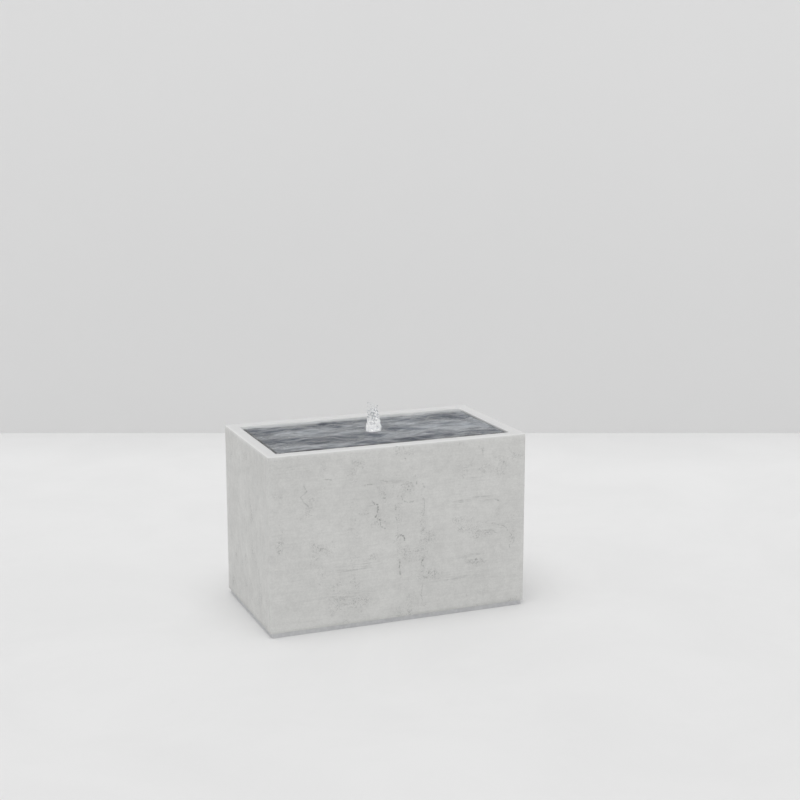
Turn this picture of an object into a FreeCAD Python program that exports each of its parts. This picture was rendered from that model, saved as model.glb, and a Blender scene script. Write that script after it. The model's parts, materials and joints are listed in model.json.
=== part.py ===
import FreeCAD, Part
import math
import os

# Self-contained rectangular water feature: a cast fibre-concrete casing on a
# recessed steel plinth, with a dark plastic basin bonded under its rim, and a
# submersible pump that feeds a telescopic riser, a bubbler nozzle and a ring
# light just under the water surface.
#
# Frame: millimetres, origin on the ground at the centre of the footprint,
# +X along the long side, -Y towards the front, +Z up.

# ---------------------------------------------------------------- driving sizes
LENGTH = 900.0  # casing, along X
DEPTH = 500.0  # casing, along Y
HEIGHT = 600.0  # ground to rim
RIM = 40.0  # width of the rim seen from above
PLINTH_HEIGHT = 16.0
PLINTH_INSET = 6.0  # how far the plinth stands back from the casing
JET_HEIGHT = 105.0  # water jet above the water surface
WATER_BELOW_RIM = 5.0

# casing
CASING_WALL = 14.0
RIM_THICKNESS = 22.0
CASING_CORNER = 4.0  # radius of the vertical corners
RIM_EDGE = 3.0  # radius of the rim's outer edge
LIP_EDGE = 3.0  # radius of the rim's inner edge

# plinth: a channel section, open towards the inside
CHANNEL_WIDTH = 40.0
CHANNEL_STEEL = 3.0
NOTCH_X = 255.0  # cable notch in the rear web
NOTCH_WIDTH = 36.0
GROMMET_WALL = 1.2
GROMMET_LIP = 2.5

# basin and what carries it
BEARER_WIDTH = 60.0
BEARER_HEIGHT = 50.0
BEARER_ROWS = (-360.0, -150.0, 150.0, 360.0)
BEARER_BOLT_Y = 224.0
PAD_THICKNESS = 4.0
PAD_Y = 165.0
BASIN_WALL = 6.0
BASIN_CORNER = 5.0
FLANGE_THICKNESS = 8.0
FLANGE_GAP = 1.0  # between the basin's flange and the casing
SEAL_THICKNESS = 3.0

# fittings through the basin's floor
DRAIN_AT = (-255.0, 120.0)
GLAND_AT = (255.0, 120.0)
CABLE_RADIUS = 4.0

# pump, whose shaft lies along X
SHAFT_Y = -12.0  # so that the tangential outlet stands on the centre line
FOOT_HEIGHT = 8.0
STRAINER_WALL = 2.0
STRAINER_BACK, STRAINER_FRONT = -106.0, 62.0
STRAINER_LEFT, STRAINER_RIGHT = -56.0, 32.0  # along Y
STRAINER_HEIGHT = 82.0
SHAFT_HEIGHT = 45.0  # above the basin's floor
MOTOR_BACK, MOTOR_FRONT = -96.0, -14.0
VOLUTE_FRONT = 14.0
CHAMBER_RADIUS = 20.0
SHAFT_RADIUS = 2.0
RUNNING = 0.05  # radial clearance of a running fit
OUTLET_RADIUS = 11.0
OUTLET_BORE = 8.0
OUTLET_TOP = 96.0  # above the basin's floor

# riser, nozzle and light, given from the water surface down
NOZZLE_TIP_BELOW = 7.0
NOZZLE_LENGTH = 45.0
RISER_OVERLAP = 15.0  # how far the tube goes into the nozzle
RISER_UPPER_LENGTH = 262.0
RISER_LOWER_LENGTH = 208.0
RISER_OUT, RISER_IN = 11.0, 9.0
SLIDER_OUT, SLIDER_IN = 8.7, 7.0
LIGHT_BELOW = 28.0  # top of the light's bezel
LIGHT_HEIGHT = 19.5
LIGHT_RADIUS = 42.0
LIGHT_BORE = 13.0
LED_COUNT = 12

# water
WATER_SKIN = 4.0  # thickness of the modelled top layer
JET_FOOT_RADIUS = 28.0
JET_RADIUS = 22.0
JET_FLARE_HEIGHT = 18.0
FREE = 0.3  # gap between solids of different bodies

# ---------------------------------------------------------------- derived levels
CAVITY_TOP = HEIGHT - RIM_THICKNESS
SEAL_BOTTOM = CAVITY_TOP - SEAL_THICKNESS
FLANGE_BOTTOM = SEAL_BOTTOM - FLANGE_THICKNESS
BEARER_TOP = PLINTH_HEIGHT + BEARER_HEIGHT
BASIN_BOTTOM = BEARER_TOP + PAD_THICKNESS
FLOOR = BASIN_BOTTOM + BASIN_WALL
WATER_TOP = HEIGHT - WATER_BELOW_RIM
OPENING_X, OPENING_Y = LENGTH - 2 * RIM, DEPTH - 2 * RIM
CAVITY_X, CAVITY_Y = LENGTH - 2 * CASING_WALL, DEPTH - 2 * CASING_WALL
FLANGE_X, FLANGE_Y = CAVITY_X - 2 * FLANGE_GAP, CAVITY_Y - 2 * FLANGE_GAP
PLINTH_X, PLINTH_Y = LENGTH - 2 * PLINTH_INSET, DEPTH - 2 * PLINTH_INSET
SHAFT_Z = FLOOR + SHAFT_HEIGHT
STRAINER_BOTTOM = FLOOR + FOOT_HEIGHT
STRAINER_TOP = STRAINER_BOTTOM + STRAINER_HEIGHT
RISER_BOTTOM = FLOOR + OUTLET_TOP
RISER_LOWER_TOP = RISER_BOTTOM + RISER_LOWER_LENGTH
NOZZLE_TOP = WATER_TOP - NOZZLE_TIP_BELOW
NOZZLE_BOTTOM = NOZZLE_TOP - NOZZLE_LENGTH
SLIDER_TOP = NOZZLE_BOTTOM + RISER_OVERLAP
LIGHT_TOP = WATER_TOP - LIGHT_BELOW
LIGHT_BOTTOM = LIGHT_TOP - LIGHT_HEIGHT

X_AXIS = FreeCAD.Vector(1, 0, 0)
Y_AXIS = FreeCAD.Vector(0, 1, 0)
Z_AXIS = FreeCAD.Vector(0, 0, 1)


# ---------------------------------------------------------------- helpers
def block(x0, x1, y0, y1, z0, z1):
    return Part.makeBox(x1 - x0, y1 - y0, z1 - z0, FreeCAD.Vector(x0, y0, z0))


def slab(size_x, size_y, z0, z1, x=0.0, y=0.0):
    """A block centred on x, y."""
    return block(x - size_x / 2, x + size_x / 2, y - size_y / 2, y + size_y / 2, z0, z1)


def rod(radius, z0, z1, x=0.0, y=0.0):
    """An upright cylinder."""
    return Part.makeCylinder(radius, z1 - z0, FreeCAD.Vector(x, y, z0), Z_AXIS)


def tube(outer, inner, z0, z1, x=0.0, y=0.0):
    """An upright tube."""
    return rod(outer, z0, z1, x, y).cut(rod(inner, z0 - 1, z1 + 1, x, y))


def bar(radius, x0, x1, y=SHAFT_Y, z=SHAFT_Z):
    """A cylinder along X, on the pump's shaft line unless said otherwise."""
    return Part.makeCylinder(radius, x1 - x0, FreeCAD.Vector(x0, y, z), X_AXIS)


def hexagon(across_flats, z0, z1, x=0.0, y=0.0):
    """An upright hexagonal prism."""
    radius = across_flats / math.sqrt(3)
    corners = [
        FreeCAD.Vector(x + radius * math.cos(a), y + radius * math.sin(a), z0)
        for a in (math.radians(60 * k) for k in range(7))
    ]
    return Part.Face(Part.makePolygon(corners)).extrude(FreeCAD.Vector(0, 0, z1 - z0))


def fuse(shapes):
    """One solid out of several that touch or overlap."""
    return shapes[0].multiFuse(shapes[1:]).removeSplitter()


def group(shapes):
    """Separate solids that share one node."""
    return Part.makeCompound(shapes)


def round_edges(shape, radius, chosen):
    """Rounds the edges for which chosen(bounding box) is true."""
    edges = [e for e in shape.Edges if chosen(e.BoundBox)]
    return shape.makeFillet(radius, edges)


def upright(box):
    return box.ZLength > 1 and box.XLength < 1e-3 and box.YLength < 1e-3


def revolve(points, x=0.0, y=0.0):
    """A solid turned about the upright line through x, y, from (radius, height) points."""
    corners = [FreeCAD.Vector(x + r, y, z) for r, z in points]
    face = Part.Face(Part.makePolygon(corners + corners[:1]))
    return face.revolve(FreeCAD.Vector(x, y, 0), Z_AXIS, 360)


def bolt(shank, z_tip, z_head, head_flats, head_height, x, y):
    """A bolt pointing down, with a hexagonal head."""
    head = hexagon(head_flats, z_head, z_head + head_height, x, y)
    return fuse([rod(shank, z_tip, z_head, x, y), head])


def around(count, radius, start=0.0):
    """Points on a circle about the centre line."""
    steps = (start + 2 * math.pi * k / count for k in range(count))
    return [(radius * math.cos(a), radius * math.sin(a)) for a in steps]


def rim_screw_places():
    """Fourteen places under the rim: five on each long side and two on each short side."""
    screw_y = OPENING_Y / 2 + (RIM - CASING_WALL) / 2 + 1.0
    screw_x = OPENING_X / 2 + (RIM - CASING_WALL) / 2 + 1.0
    long_sides = [(x, s * screw_y) for x in (-360, -180, 0, 180, 360) for s in (-1, 1)]
    short_sides = [(s * screw_x, y) for y in (-90, 90) for s in (-1, 1)]
    return long_sides + short_sides


def bearer_bolt_places():
    return [(x, s * BEARER_BOLT_Y) for x in BEARER_ROWS for s in (-1, 1)]


# ---------------------------------------------------------------- casing and plinth
INSERT_RADIUS = 4.5
INSERT_LENGTH = 13.0
RIM_SCREW = 2.5


def casing():
    """Cast shell, open below, with the rim returned inwards."""
    shell = slab(LENGTH, DEPTH, PLINTH_HEIGHT, HEIGHT)
    shell = round_edges(shell, CASING_CORNER, upright)
    shell = round_edges(shell, RIM_EDGE, lambda b: b.ZMin > HEIGHT - 1e-3)
    shell = shell.cut(slab(CAVITY_X, CAVITY_Y, PLINTH_HEIGHT - 1, CAVITY_TOP))
    opening = slab(OPENING_X, OPENING_Y, CAVITY_TOP - 1, HEIGHT + 1)
    shell = shell.cut(opening)
    shell = round_edges(
        shell,
        LIP_EDGE,
        lambda b: b.ZMin > HEIGHT - 1e-3
        and abs(b.XMin) < OPENING_X / 2 + 1
        and abs(b.YMin) < OPENING_Y / 2 + 1,
    )
    holes = [
        rod(INSERT_RADIUS + RUNNING, CAVITY_TOP - 1, CAVITY_TOP + INSERT_LENGTH, x, y)
        for x, y in rim_screw_places()
    ]
    return shell.cut(group(holes))


def rim_inserts():
    """Threaded brass inserts cast into the rim from below."""
    return group(
        [
            tube(INSERT_RADIUS, RIM_SCREW + RUNNING, CAVITY_TOP, CAVITY_TOP + INSERT_LENGTH, x, y)
            for x, y in rim_screw_places()
        ]
    )


def plinth_frame():
    """Welded ring of channel section, with a notch for the cable in its rear web."""
    ring = slab(PLINTH_X, PLINTH_Y, 0, PLINTH_HEIGHT)
    ring = round_edges(ring, CASING_CORNER, upright)
    middle_x, middle_y = PLINTH_X - 2 * CHANNEL_WIDTH, PLINTH_Y - 2 * CHANNEL_WIDTH
    ring = ring.cut(slab(middle_x, middle_y, -1, PLINTH_HEIGHT + 1))
    hollow_x, hollow_y = PLINTH_X - 2 * CHANNEL_STEEL, PLINTH_Y - 2 * CHANNEL_STEEL
    hollow = slab(hollow_x, hollow_y, CHANNEL_STEEL, PLINTH_HEIGHT - CHANNEL_STEEL)
    ring = ring.cut(hollow)
    web = PLINTH_Y / 2
    notch = block(
        NOTCH_X - NOTCH_WIDTH / 2,
        NOTCH_X + NOTCH_WIDTH / 2,
        web - CHANNEL_STEEL - 1,
        web + 1,
        CHANNEL_STEEL,
        PLINTH_HEIGHT - CHANNEL_STEEL,
    )
    ring = ring.cut(notch)
    bolts = [rod(BOLT_HOLE, -1, PLINTH_HEIGHT + 1, x, y) for x, y in bearer_bolt_places()]
    bolts = [b.common(slab(LENGTH, DEPTH, 5, PLINTH_HEIGHT + 1)) for b in bolts]
    screws = [rod(BRACKET_SCREW + RUNNING, 5, PLINTH_HEIGHT + 1, x, y) for x, y, _ in bracket_places()]
    return ring.cut(group(bolts + screws))


def cable_grommet():
    """Rubber edging that lines the cable notch and grips the web on both sides."""
    low, high = CHANNEL_STEEL, PLINTH_HEIGHT - CHANNEL_STEEL
    web = PLINTH_Y / 2
    half = NOTCH_WIDTH / 2
    sleeve = block(NOTCH_X - half, NOTCH_X + half, web - CHANNEL_STEEL, web, low, high)
    inside = block(
        NOTCH_X - half - GROMMET_LIP,
        NOTCH_X + half + GROMMET_LIP,
        web - CHANNEL_STEEL - GROMMET_LIP,
        web - CHANNEL_STEEL,
        low,
        high,
    )
    hole = block(
        NOTCH_X - half + GROMMET_WALL,
        NOTCH_X + half - GROMMET_WALL,
        web - CHANNEL_STEEL - GROMMET_LIP - 1,
        web + 1,
        low + GROMMET_WALL,
        high - GROMMET_WALL,
    )
    return fuse([sleeve, inside]).cut(hole)


# ---------------------------------------------------------------- bearers, brackets
BOLT_RADIUS = 4.0
BOLT_HOLE = 4.3
BOLT_HEAD_FLATS = 13.0
BOLT_HEAD = 5.3
COUNTERBORE = 9.5
COUNTERBORE_DEPTH = 8.0
NUT_HEIGHT = 6.5
BRACKET_SCREW = 2.5
BRACKET_WIDTH = 30.0
BRACKET_LEG = 30.0
BRACKET_RISE = 40.0
BRACKET_STEEL = 3.0
BRACKET_HOLE_BACK = 16.0  # from the casing's inside face to the screw
BRACKET_ROWS = (-295.0, -60.0, 60.0, 210.0)


def basin_bearers():
    """Recycled-plastic bearers that carry the basin across the plinth."""
    made = []
    for x in BEARER_ROWS:
        beam = slab(BEARER_WIDTH, CAVITY_Y - 4, PLINTH_HEIGHT, BEARER_TOP, x)
        beam = round_edges(beam, 2.0, lambda b: b.YLength > 100)
        for s in (-1, 1):
            y = s * BEARER_BOLT_Y
            beam = beam.cut(rod(BOLT_HOLE, 0, BEARER_TOP + 1, x, y))
            beam = beam.cut(
                rod(COUNTERBORE, BEARER_TOP - COUNTERBORE_DEPTH, BEARER_TOP + 1, x, y)
            )
        made.append(beam)
    return group(made)


def bearer_bolts():
    seat = BEARER_TOP - COUNTERBORE_DEPTH
    return group(
        [
            bolt(BOLT_RADIUS, 5.5, seat, BOLT_HEAD_FLATS, BOLT_HEAD, x, y)
            for x, y in bearer_bolt_places()
        ]
    )


def bearer_nuts():
    top = PLINTH_HEIGHT - CHANNEL_STEEL
    return group(
        [
            hexagon(BOLT_HEAD_FLATS, top - NUT_HEIGHT, top, x, y).cut(
                rod(BOLT_RADIUS + RUNNING, 0, top + 1, x, y)
            )
            for x, y in bearer_bolt_places()
        ]
    )


def bracket_places():
    """(x, y, turn) of each bracket's screw. Turn 0 has the upright leg towards +Y."""
    long_y = CAVITY_Y / 2 - BRACKET_HOLE_BACK
    short_x = CAVITY_X / 2 - BRACKET_HOLE_BACK
    sides = [(x, s * long_y, 0 if s > 0 else 180) for x in BRACKET_ROWS for s in (-1, 1)]
    return sides + [(short_x, 0.0, 270), (-short_x, 0.0, 90)]


def casing_brackets():
    """Steel angles on the plinth that hold the casing in place from inside."""
    made = []
    z0 = PLINTH_HEIGHT
    for x, y, turn in bracket_places():
        wall = BRACKET_HOLE_BACK
        foot = block(
            -BRACKET_WIDTH / 2, BRACKET_WIDTH / 2, wall - BRACKET_LEG, wall, z0, z0 + BRACKET_STEEL
        )
        leg = block(
            -BRACKET_WIDTH / 2, BRACKET_WIDTH / 2, wall - BRACKET_STEEL, wall, z0, z0 + BRACKET_RISE
        )
        angle = fuse([foot, leg]).cut(rod(BRACKET_SCREW + RUNNING, z0 - 1, z0 + 10))
        angle.rotate(FreeCAD.Vector(0, 0, 0), Z_AXIS, turn)
        angle.translate(FreeCAD.Vector(x, y, 0))
        made.append(angle)
    return group(made)


def bracket_screws():
    top = PLINTH_HEIGHT + BRACKET_STEEL
    return group(
        [
            fuse([rod(BRACKET_SCREW, 7, top, x, y), rod(4.8, top, top + 3.2, x, y)])
            for x, y, _ in bracket_places()
        ]
    )


# ---------------------------------------------------------------- basin
DRAIN_STEM = 17.0
GLAND_STEM = 10.0


def basin():
    """Dark moulded tub with an outward flange, bonded under the rim."""
    outer_x, outer_y = OPENING_X + 2 * BASIN_WALL, OPENING_Y + 2 * BASIN_WALL
    tub = slab(outer_x, outer_y, BASIN_BOTTOM, SEAL_BOTTOM)
    tub = round_edges(tub, BASIN_CORNER + BASIN_WALL, upright)
    flange = slab(FLANGE_X, FLANGE_Y, FLANGE_BOTTOM, SEAL_BOTTOM)
    tub = fuse([tub, flange])
    hollow = slab(OPENING_X, OPENING_Y, FLOOR, SEAL_BOTTOM + 5)
    hollow = round_edges(hollow, BASIN_CORNER, upright)
    hollow = round_edges(hollow, BASIN_CORNER - 1, lambda b: b.ZMax < FLOOR + 1e-3)
    tub = tub.cut(hollow)
    holes = [
        rod(RIM_SCREW + 0.3, FLANGE_BOTTOM - 1, SEAL_BOTTOM + 1, x, y)
        for x, y in rim_screw_places()
    ]
    holes.append(rod(DRAIN_STEM + FREE, BASIN_BOTTOM - 1, FLOOR + 1, *DRAIN_AT))
    holes.append(rod(GLAND_STEM + FREE, BASIN_BOTTOM - 1, FLOOR + 1, *GLAND_AT))
    return tub.cut(group(holes))


def rim_seal():
    """Sealant strip between the basin's flange and the underside of the rim."""
    strip = slab(FLANGE_X, FLANGE_Y, SEAL_BOTTOM, CAVITY_TOP)
    strip = strip.cut(slab(OPENING_X, OPENING_Y, SEAL_BOTTOM - 1, CAVITY_TOP + 1))
    holes = [
        rod(RIM_SCREW + 0.3, SEAL_BOTTOM - 1, CAVITY_TOP + 1, x, y)
        for x, y in rim_screw_places()
    ]
    return strip.cut(group(holes))


def flange_screws():
    """Screws that clamp the flange up against the rim, heads below."""
    made = []
    for x, y in rim_screw_places():
        shank = rod(RIM_SCREW, FLANGE_BOTTOM, CAVITY_TOP + INSERT_LENGTH - 2, x, y)
        head = rod(4.6, FLANGE_BOTTOM - 3.0, FLANGE_BOTTOM, x, y)
        socket = hexagon(3.0, FLANGE_BOTTOM - 4.0, FLANGE_BOTTOM - 1.4, x, y)
        made.append(fuse([shank, head]).cut(socket))
    return group(made)


def basin_pads():
    """Rubber pads between the bearers and the basin's floor."""
    pads = [
        slab(BEARER_WIDTH - 10, 70, BEARER_TOP, BASIN_BOTTOM, x, s * PAD_Y)
        for x in BEARER_ROWS
        for s in (-1, 1)
    ]
    return group(pads)


# ---------------------------------------------------------------- drain
DRAIN_FLANGE = 28.0
DRAIN_BORE = 12.0
DRAIN_WASHER = 2.0
DRAIN_BODY_FLANGE = 4.0
DRAIN_STEM_BOTTOM = 58.0
DRAIN_TAIL = 16.0  # hose tail below the thread
DRAIN_TAIL_BOTTOM = 40.0
DRAIN_NUT_FLATS = 46.0
DRAIN_NUT = 8.0
PLUG_RADIUS = 11.7
PLUG_CAP = 18.0
PLUG_CAP_THICKNESS = 4.0
PLUG_DEPTH = 20.0
LOOP_RADIUS = 9.0
LOOP_WIRE = 2.2
O_RING = 1.5  # radius of the plug's O-ring cord
O_RING_CENTRE = PLUG_RADIUS - O_RING + 0.1


def drain_top():
    return FLOOR + DRAIN_WASHER + DRAIN_BODY_FLANGE


def drain_body():
    """Threaded outlet through the basin's floor, with a hose tail below."""
    x, y = DRAIN_AT
    flange = rod(DRAIN_FLANGE, FLOOR + DRAIN_WASHER, drain_top(), x, y)
    stem = rod(DRAIN_STEM, DRAIN_STEM_BOTTOM, FLOOR + DRAIN_WASHER, x, y)
    tail = rod(DRAIN_TAIL, DRAIN_TAIL_BOTTOM, DRAIN_STEM_BOTTOM, x, y)
    return fuse([flange, stem, tail]).cut(rod(DRAIN_BORE, 0, drain_top() + 1, x, y))


def drain_washer():
    return tube(DRAIN_FLANGE - 1, DRAIN_STEM + RUNNING, FLOOR, FLOOR + DRAIN_WASHER, *DRAIN_AT)


def drain_locknut():
    nut = hexagon(DRAIN_NUT_FLATS, BASIN_BOTTOM - DRAIN_NUT, BASIN_BOTTOM, *DRAIN_AT)
    return nut.cut(rod(DRAIN_STEM + RUNNING, 0, BASIN_BOTTOM + 1, *DRAIN_AT))


def drain_plug():
    """Push-in plug with a loop to pull it by."""
    x, y = DRAIN_AT
    top = drain_top() + FREE
    cap_top = top + PLUG_CAP_THICKNESS
    groove = top - PLUG_DEPTH / 2
    groove_half = O_RING + 0.5
    stem = rod(PLUG_RADIUS, top - PLUG_DEPTH, top, x, y)
    groove_depth = O_RING_CENTRE - O_RING - RUNNING
    stem = stem.cut(
        tube(PLUG_RADIUS + 1, groove_depth, groove - groove_half, groove + groove_half, x, y)
    )
    cap = rod(PLUG_CAP, top, cap_top, x, y)
    cap = round_edges(cap, 1.2, lambda b: b.ZMin > cap_top - 0.1)
    loop = Part.makeTorus(LOOP_RADIUS, LOOP_WIRE, FreeCAD.Vector(x, y, cap_top + 3), X_AXIS)
    loop = loop.cut(slab(3 * LOOP_RADIUS, 3 * LOOP_RADIUS, top - PLUG_DEPTH, cap_top - 0.5, x, y))
    return fuse([stem, cap, loop])


def drain_o_ring():
    x, y = DRAIN_AT
    groove = drain_top() + FREE - PLUG_DEPTH / 2
    return Part.makeTorus(O_RING_CENTRE, O_RING, FreeCAD.Vector(x, y, groove))


# ---------------------------------------------------------------- cable gland
GLAND_FLATS = 24.0
GLAND_WASHER = 2.0
GLAND_COLLAR = 6.0
GLAND_NECK = 9.0
GLAND_NECK_LENGTH = 10.0
GLAND_BORE = 6.0
GLAND_CAP = 20.0
GLAND_CAP_RADIUS = 12.5
GLAND_NUT = 6.0
GLAND_STEM_BOTTOM = 52.0


def gland_body():
    """Gland screwed through the basin's floor, cable straight down."""
    x, y = GLAND_AT
    base = FLOOR + GLAND_WASHER
    collar = hexagon(GLAND_FLATS, base, base + GLAND_COLLAR, x, y)
    stem = rod(GLAND_STEM, GLAND_STEM_BOTTOM, base, x, y)
    neck_base = base + GLAND_COLLAR
    neck = rod(GLAND_NECK, neck_base, neck_base + GLAND_NECK_LENGTH, x, y)
    return fuse([stem, collar, neck]).cut(rod(GLAND_BORE, 0, base + 40, x, y))


def gland_sleeve():
    """Rubber sleeve that grips the cable."""
    base = FLOOR + GLAND_WASHER
    top = base + GLAND_COLLAR + GLAND_NECK_LENGTH - 1
    return tube(GLAND_BORE - RUNNING, CABLE_RADIUS, base, top, *GLAND_AT)


def gland_cap():
    """Dome nut that squeezes the sleeve."""
    x, y = GLAND_AT
    bottom = FLOOR + GLAND_WASHER + GLAND_COLLAR
    top = bottom + GLAND_CAP
    shoulder = bottom + GLAND_CAP / 2
    wide, narrow = GLAND_CAP_RADIUS, GLAND_CAP_RADIUS - 5
    cap = revolve([(0, bottom), (wide, bottom), (wide, shoulder), (narrow, top), (0, top)], x, y)
    thread_top = bottom + GLAND_NECK_LENGTH + 0.5
    cap = cap.cut(rod(GLAND_NECK + RUNNING, bottom - 1, thread_top, x, y))
    return cap.cut(rod(CABLE_RADIUS + 0.8, bottom, top + 1, x, y))


def gland_washer():
    return tube(11.8, GLAND_STEM + RUNNING, FLOOR, FLOOR + GLAND_WASHER, *GLAND_AT)


def gland_locknut():
    nut = hexagon(GLAND_FLATS + 2, BASIN_BOTTOM - GLAND_NUT, BASIN_BOTTOM, *GLAND_AT)
    return nut.cut(rod(GLAND_STEM + RUNNING, 0, BASIN_BOTTOM + 1, *GLAND_AT))


# ---------------------------------------------------------------- pump
MOTOR_HALF_WIDTH = 28.0
MOTOR_HALF_HEIGHT = 29.0
WELL_RADIUS = 13.5
WELL_BACK = -72.0
MAGNET_RADIUS = 12.5
MAGNET_BACK, MAGNET_FRONT = -66.0, -15.5
IMPELLER_BACK, IMPELLER_FRONT = -11.0, 6.0
IMPELLER_RADIUS = 17.0
HUB_RADIUS = 6.0
BUSH_RADIUS = 5.0
BUSH_LENGTH = 6.0
O_RING_DEPTH = 1.5
INLET_BOSS = 6.5
INLET_RISE = 16.0  # cable inlet above the shaft
PUMP_CABLE = 3.2
BOSS_RADIUS = 5.0
VOLUTE_RADIUS = 26.0
INLET_RADIUS = 15.0
DIAL_RADIUS = 18.0
DIAL_THICKNESS = 3.5
DIAL_TAB = 9.0
WINDOW_SWEEP = 78.0  # degrees of each inlet window
WINDOW_INNER = 6.5
BLADES = 6
BLADE = 1.8


def o_ring_space(x0, x1):
    """The ring that the volute's seal fills, outside the impeller chamber."""
    outer = bar(CHAMBER_RADIUS + 3, x0, x1)
    return outer.cut(bar(CHAMBER_RADIUS + 1, x0 - 1, x1 + 1))


def pump_motor():
    """Resin-filled stator housing with the wet rotor well and a cable inlet behind."""
    body = block(
        MOTOR_BACK,
        MOTOR_FRONT,
        SHAFT_Y - MOTOR_HALF_WIDTH,
        SHAFT_Y + MOTOR_HALF_WIDTH,
        SHAFT_Z - MOTOR_HALF_HEIGHT,
        SHAFT_Z + MOTOR_HALF_HEIGHT,
    )
    body = round_edges(body, 8.0, lambda b: b.XLength > 10)
    body = round_edges(body, 4.0, lambda b: b.XMax < MOTOR_BACK + 1e-3)
    well = bar(WELL_RADIUS, WELL_BACK, MOTOR_FRONT + 1)
    seat = bar(BUSH_RADIUS, WELL_BACK - BUSH_LENGTH, WELL_BACK + 1)
    groove = o_ring_space(MOTOR_FRONT - O_RING_DEPTH, MOTOR_FRONT + 1)
    inlet_z = SHAFT_Z + INLET_RISE
    boss = bar(INLET_BOSS, MOTOR_BACK - 6, MOTOR_BACK + 5, SHAFT_Y, inlet_z)
    cable_hole = bar(PUMP_CABLE, MOTOR_BACK - 7, MOTOR_BACK + 4, SHAFT_Y, inlet_z)
    return fuse([body, boss]).cut(group([well, seat, groove])).cut(cable_hole)


def windows(x0, x1, outer):
    """Two opposite sector openings about the shaft line."""
    ring = bar(outer, x0, x1).cut(bar(WINDOW_INNER, x0 - 1, x1 + 1))
    sectors = []
    for start in (90 - WINDOW_SWEEP / 2, 270 - WINDOW_SWEEP / 2):
        wedge = Part.makeCylinder(
            2 * outer, x1 - x0 + 2, FreeCAD.Vector(0, 0, 0), Z_AXIS, WINDOW_SWEEP
        )
        wedge.rotate(FreeCAD.Vector(0, 0, 0), Z_AXIS, start)
        wedge.rotate(FreeCAD.Vector(0, 0, 0), Y_AXIS, 90)
        wedge.translate(FreeCAD.Vector(x0 - 1, SHAFT_Y, SHAFT_Z))
        sectors.append(ring.common(wedge))
    return sectors


def pump_volute():
    """Impeller chamber with a tangential outlet that stands on the centre line."""
    shell = bar(VOLUTE_RADIUS, MOTOR_FRONT, VOLUTE_FRONT)
    outlet = rod(OUTLET_RADIUS, SHAFT_Z, RISER_BOTTOM)
    made = fuse([shell, outlet])
    made = made.cut(bar(CHAMBER_RADIUS, MOTOR_FRONT - 1, VOLUTE_FRONT - 3))
    made = made.cut(rod(OUTLET_BORE, SHAFT_Z, RISER_BOTTOM + 1))
    for sector in windows(VOLUTE_FRONT - 4, VOLUTE_FRONT + 1, INLET_RADIUS):
        made = made.cut(sector)
    boss = bar(BOSS_RADIUS, VOLUTE_FRONT - 6, VOLUTE_FRONT + 8)
    return fuse([made, boss]).cut(bar(SHAFT_RADIUS, 0, VOLUTE_FRONT - 1))


def rotor_shaft():
    """Fixed ceramic shaft."""
    return bar(SHAFT_RADIUS, WELL_BACK - 4, VOLUTE_FRONT - 1)


def shaft_bush():
    """Rubber seat for the rear end of the shaft."""
    seat = bar(BUSH_RADIUS, WELL_BACK - BUSH_LENGTH, WELL_BACK)
    return seat.cut(bar(SHAFT_RADIUS, WELL_BACK - 4, WELL_BACK + 1))


def rotor_magnet():
    drum = bar(MAGNET_RADIUS, MAGNET_BACK, MAGNET_FRONT)
    drum = round_edges(drum, 1.5, lambda b: b.XLength < 1e-3)
    return drum.cut(bar(SHAFT_RADIUS + RUNNING, MAGNET_BACK - 1, MAGNET_FRONT + 1))


def impeller():
    """Hub, back disc and six blades, on a sleeve that joins the magnet."""
    hub = bar(HUB_RADIUS, MAGNET_FRONT, IMPELLER_FRONT)
    disc = bar(IMPELLER_RADIUS, IMPELLER_BACK, IMPELLER_BACK + 2)
    blades = []
    for k in range(BLADES):
        blade = block(
            IMPELLER_BACK,
            IMPELLER_FRONT,
            SHAFT_Y - BLADE / 2,
            SHAFT_Y + BLADE / 2,
            SHAFT_Z + HUB_RADIUS - 1,
            SHAFT_Z + IMPELLER_RADIUS - 0.5,
        )
        blade.rotate(FreeCAD.Vector(0, SHAFT_Y, SHAFT_Z), X_AXIS, 360 / BLADES * k)
        blades.append(blade)
    made = fuse([hub, disc] + blades)
    return made.cut(bar(SHAFT_RADIUS + RUNNING, MAGNET_FRONT - 1, IMPELLER_FRONT + 1))


def volute_o_ring():
    """Seal between volute and motor, in the corner outside the chamber."""
    return o_ring_space(MOTOR_FRONT - O_RING_DEPTH, MOTOR_FRONT)


def flow_dial():
    """Turning plate that covers or uncovers the inlet windows, with a thumb tab."""
    x0 = VOLUTE_FRONT + FREE
    x1 = x0 + DIAL_THICKNESS
    plate = bar(DIAL_RADIUS, x0, x1)
    tab_low = SHAFT_Z + DIAL_RADIUS - 6
    tab_high = SHAFT_Z + DIAL_RADIUS + DIAL_TAB
    tab = block(x0, x1 + 6, SHAFT_Y - 2, SHAFT_Y + 2, tab_low, tab_high)
    made = fuse([plate, tab])
    for sector in windows(x0 - 1, x1 + 8, INLET_RADIUS - 3):
        made = made.cut(sector)
    return made.cut(bar(BOSS_RADIUS + FREE, x0 - 1, x1 + 1))


def dial_clip():
    """Push-on clip that keeps the dial on its boss."""
    x0 = VOLUTE_FRONT + 2 * FREE + DIAL_THICKNESS
    ring = bar(BOSS_RADIUS + 3, x0, x0 + 1.5)
    return ring.cut(bar(BOSS_RADIUS + RUNNING, x0 - 1, x0 + 3))


SLOT = 3.0
SLOT_PITCH = 7.0
SLOT_END = 12.0  # from a slot's ends to the top and bottom of the box
RIB = 6.0
RIB_BACKS = (-84.0, -34.0)
FOOT_ROWS = (-92.0, -18.0)
FOOT_INSET = 14.0


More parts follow.
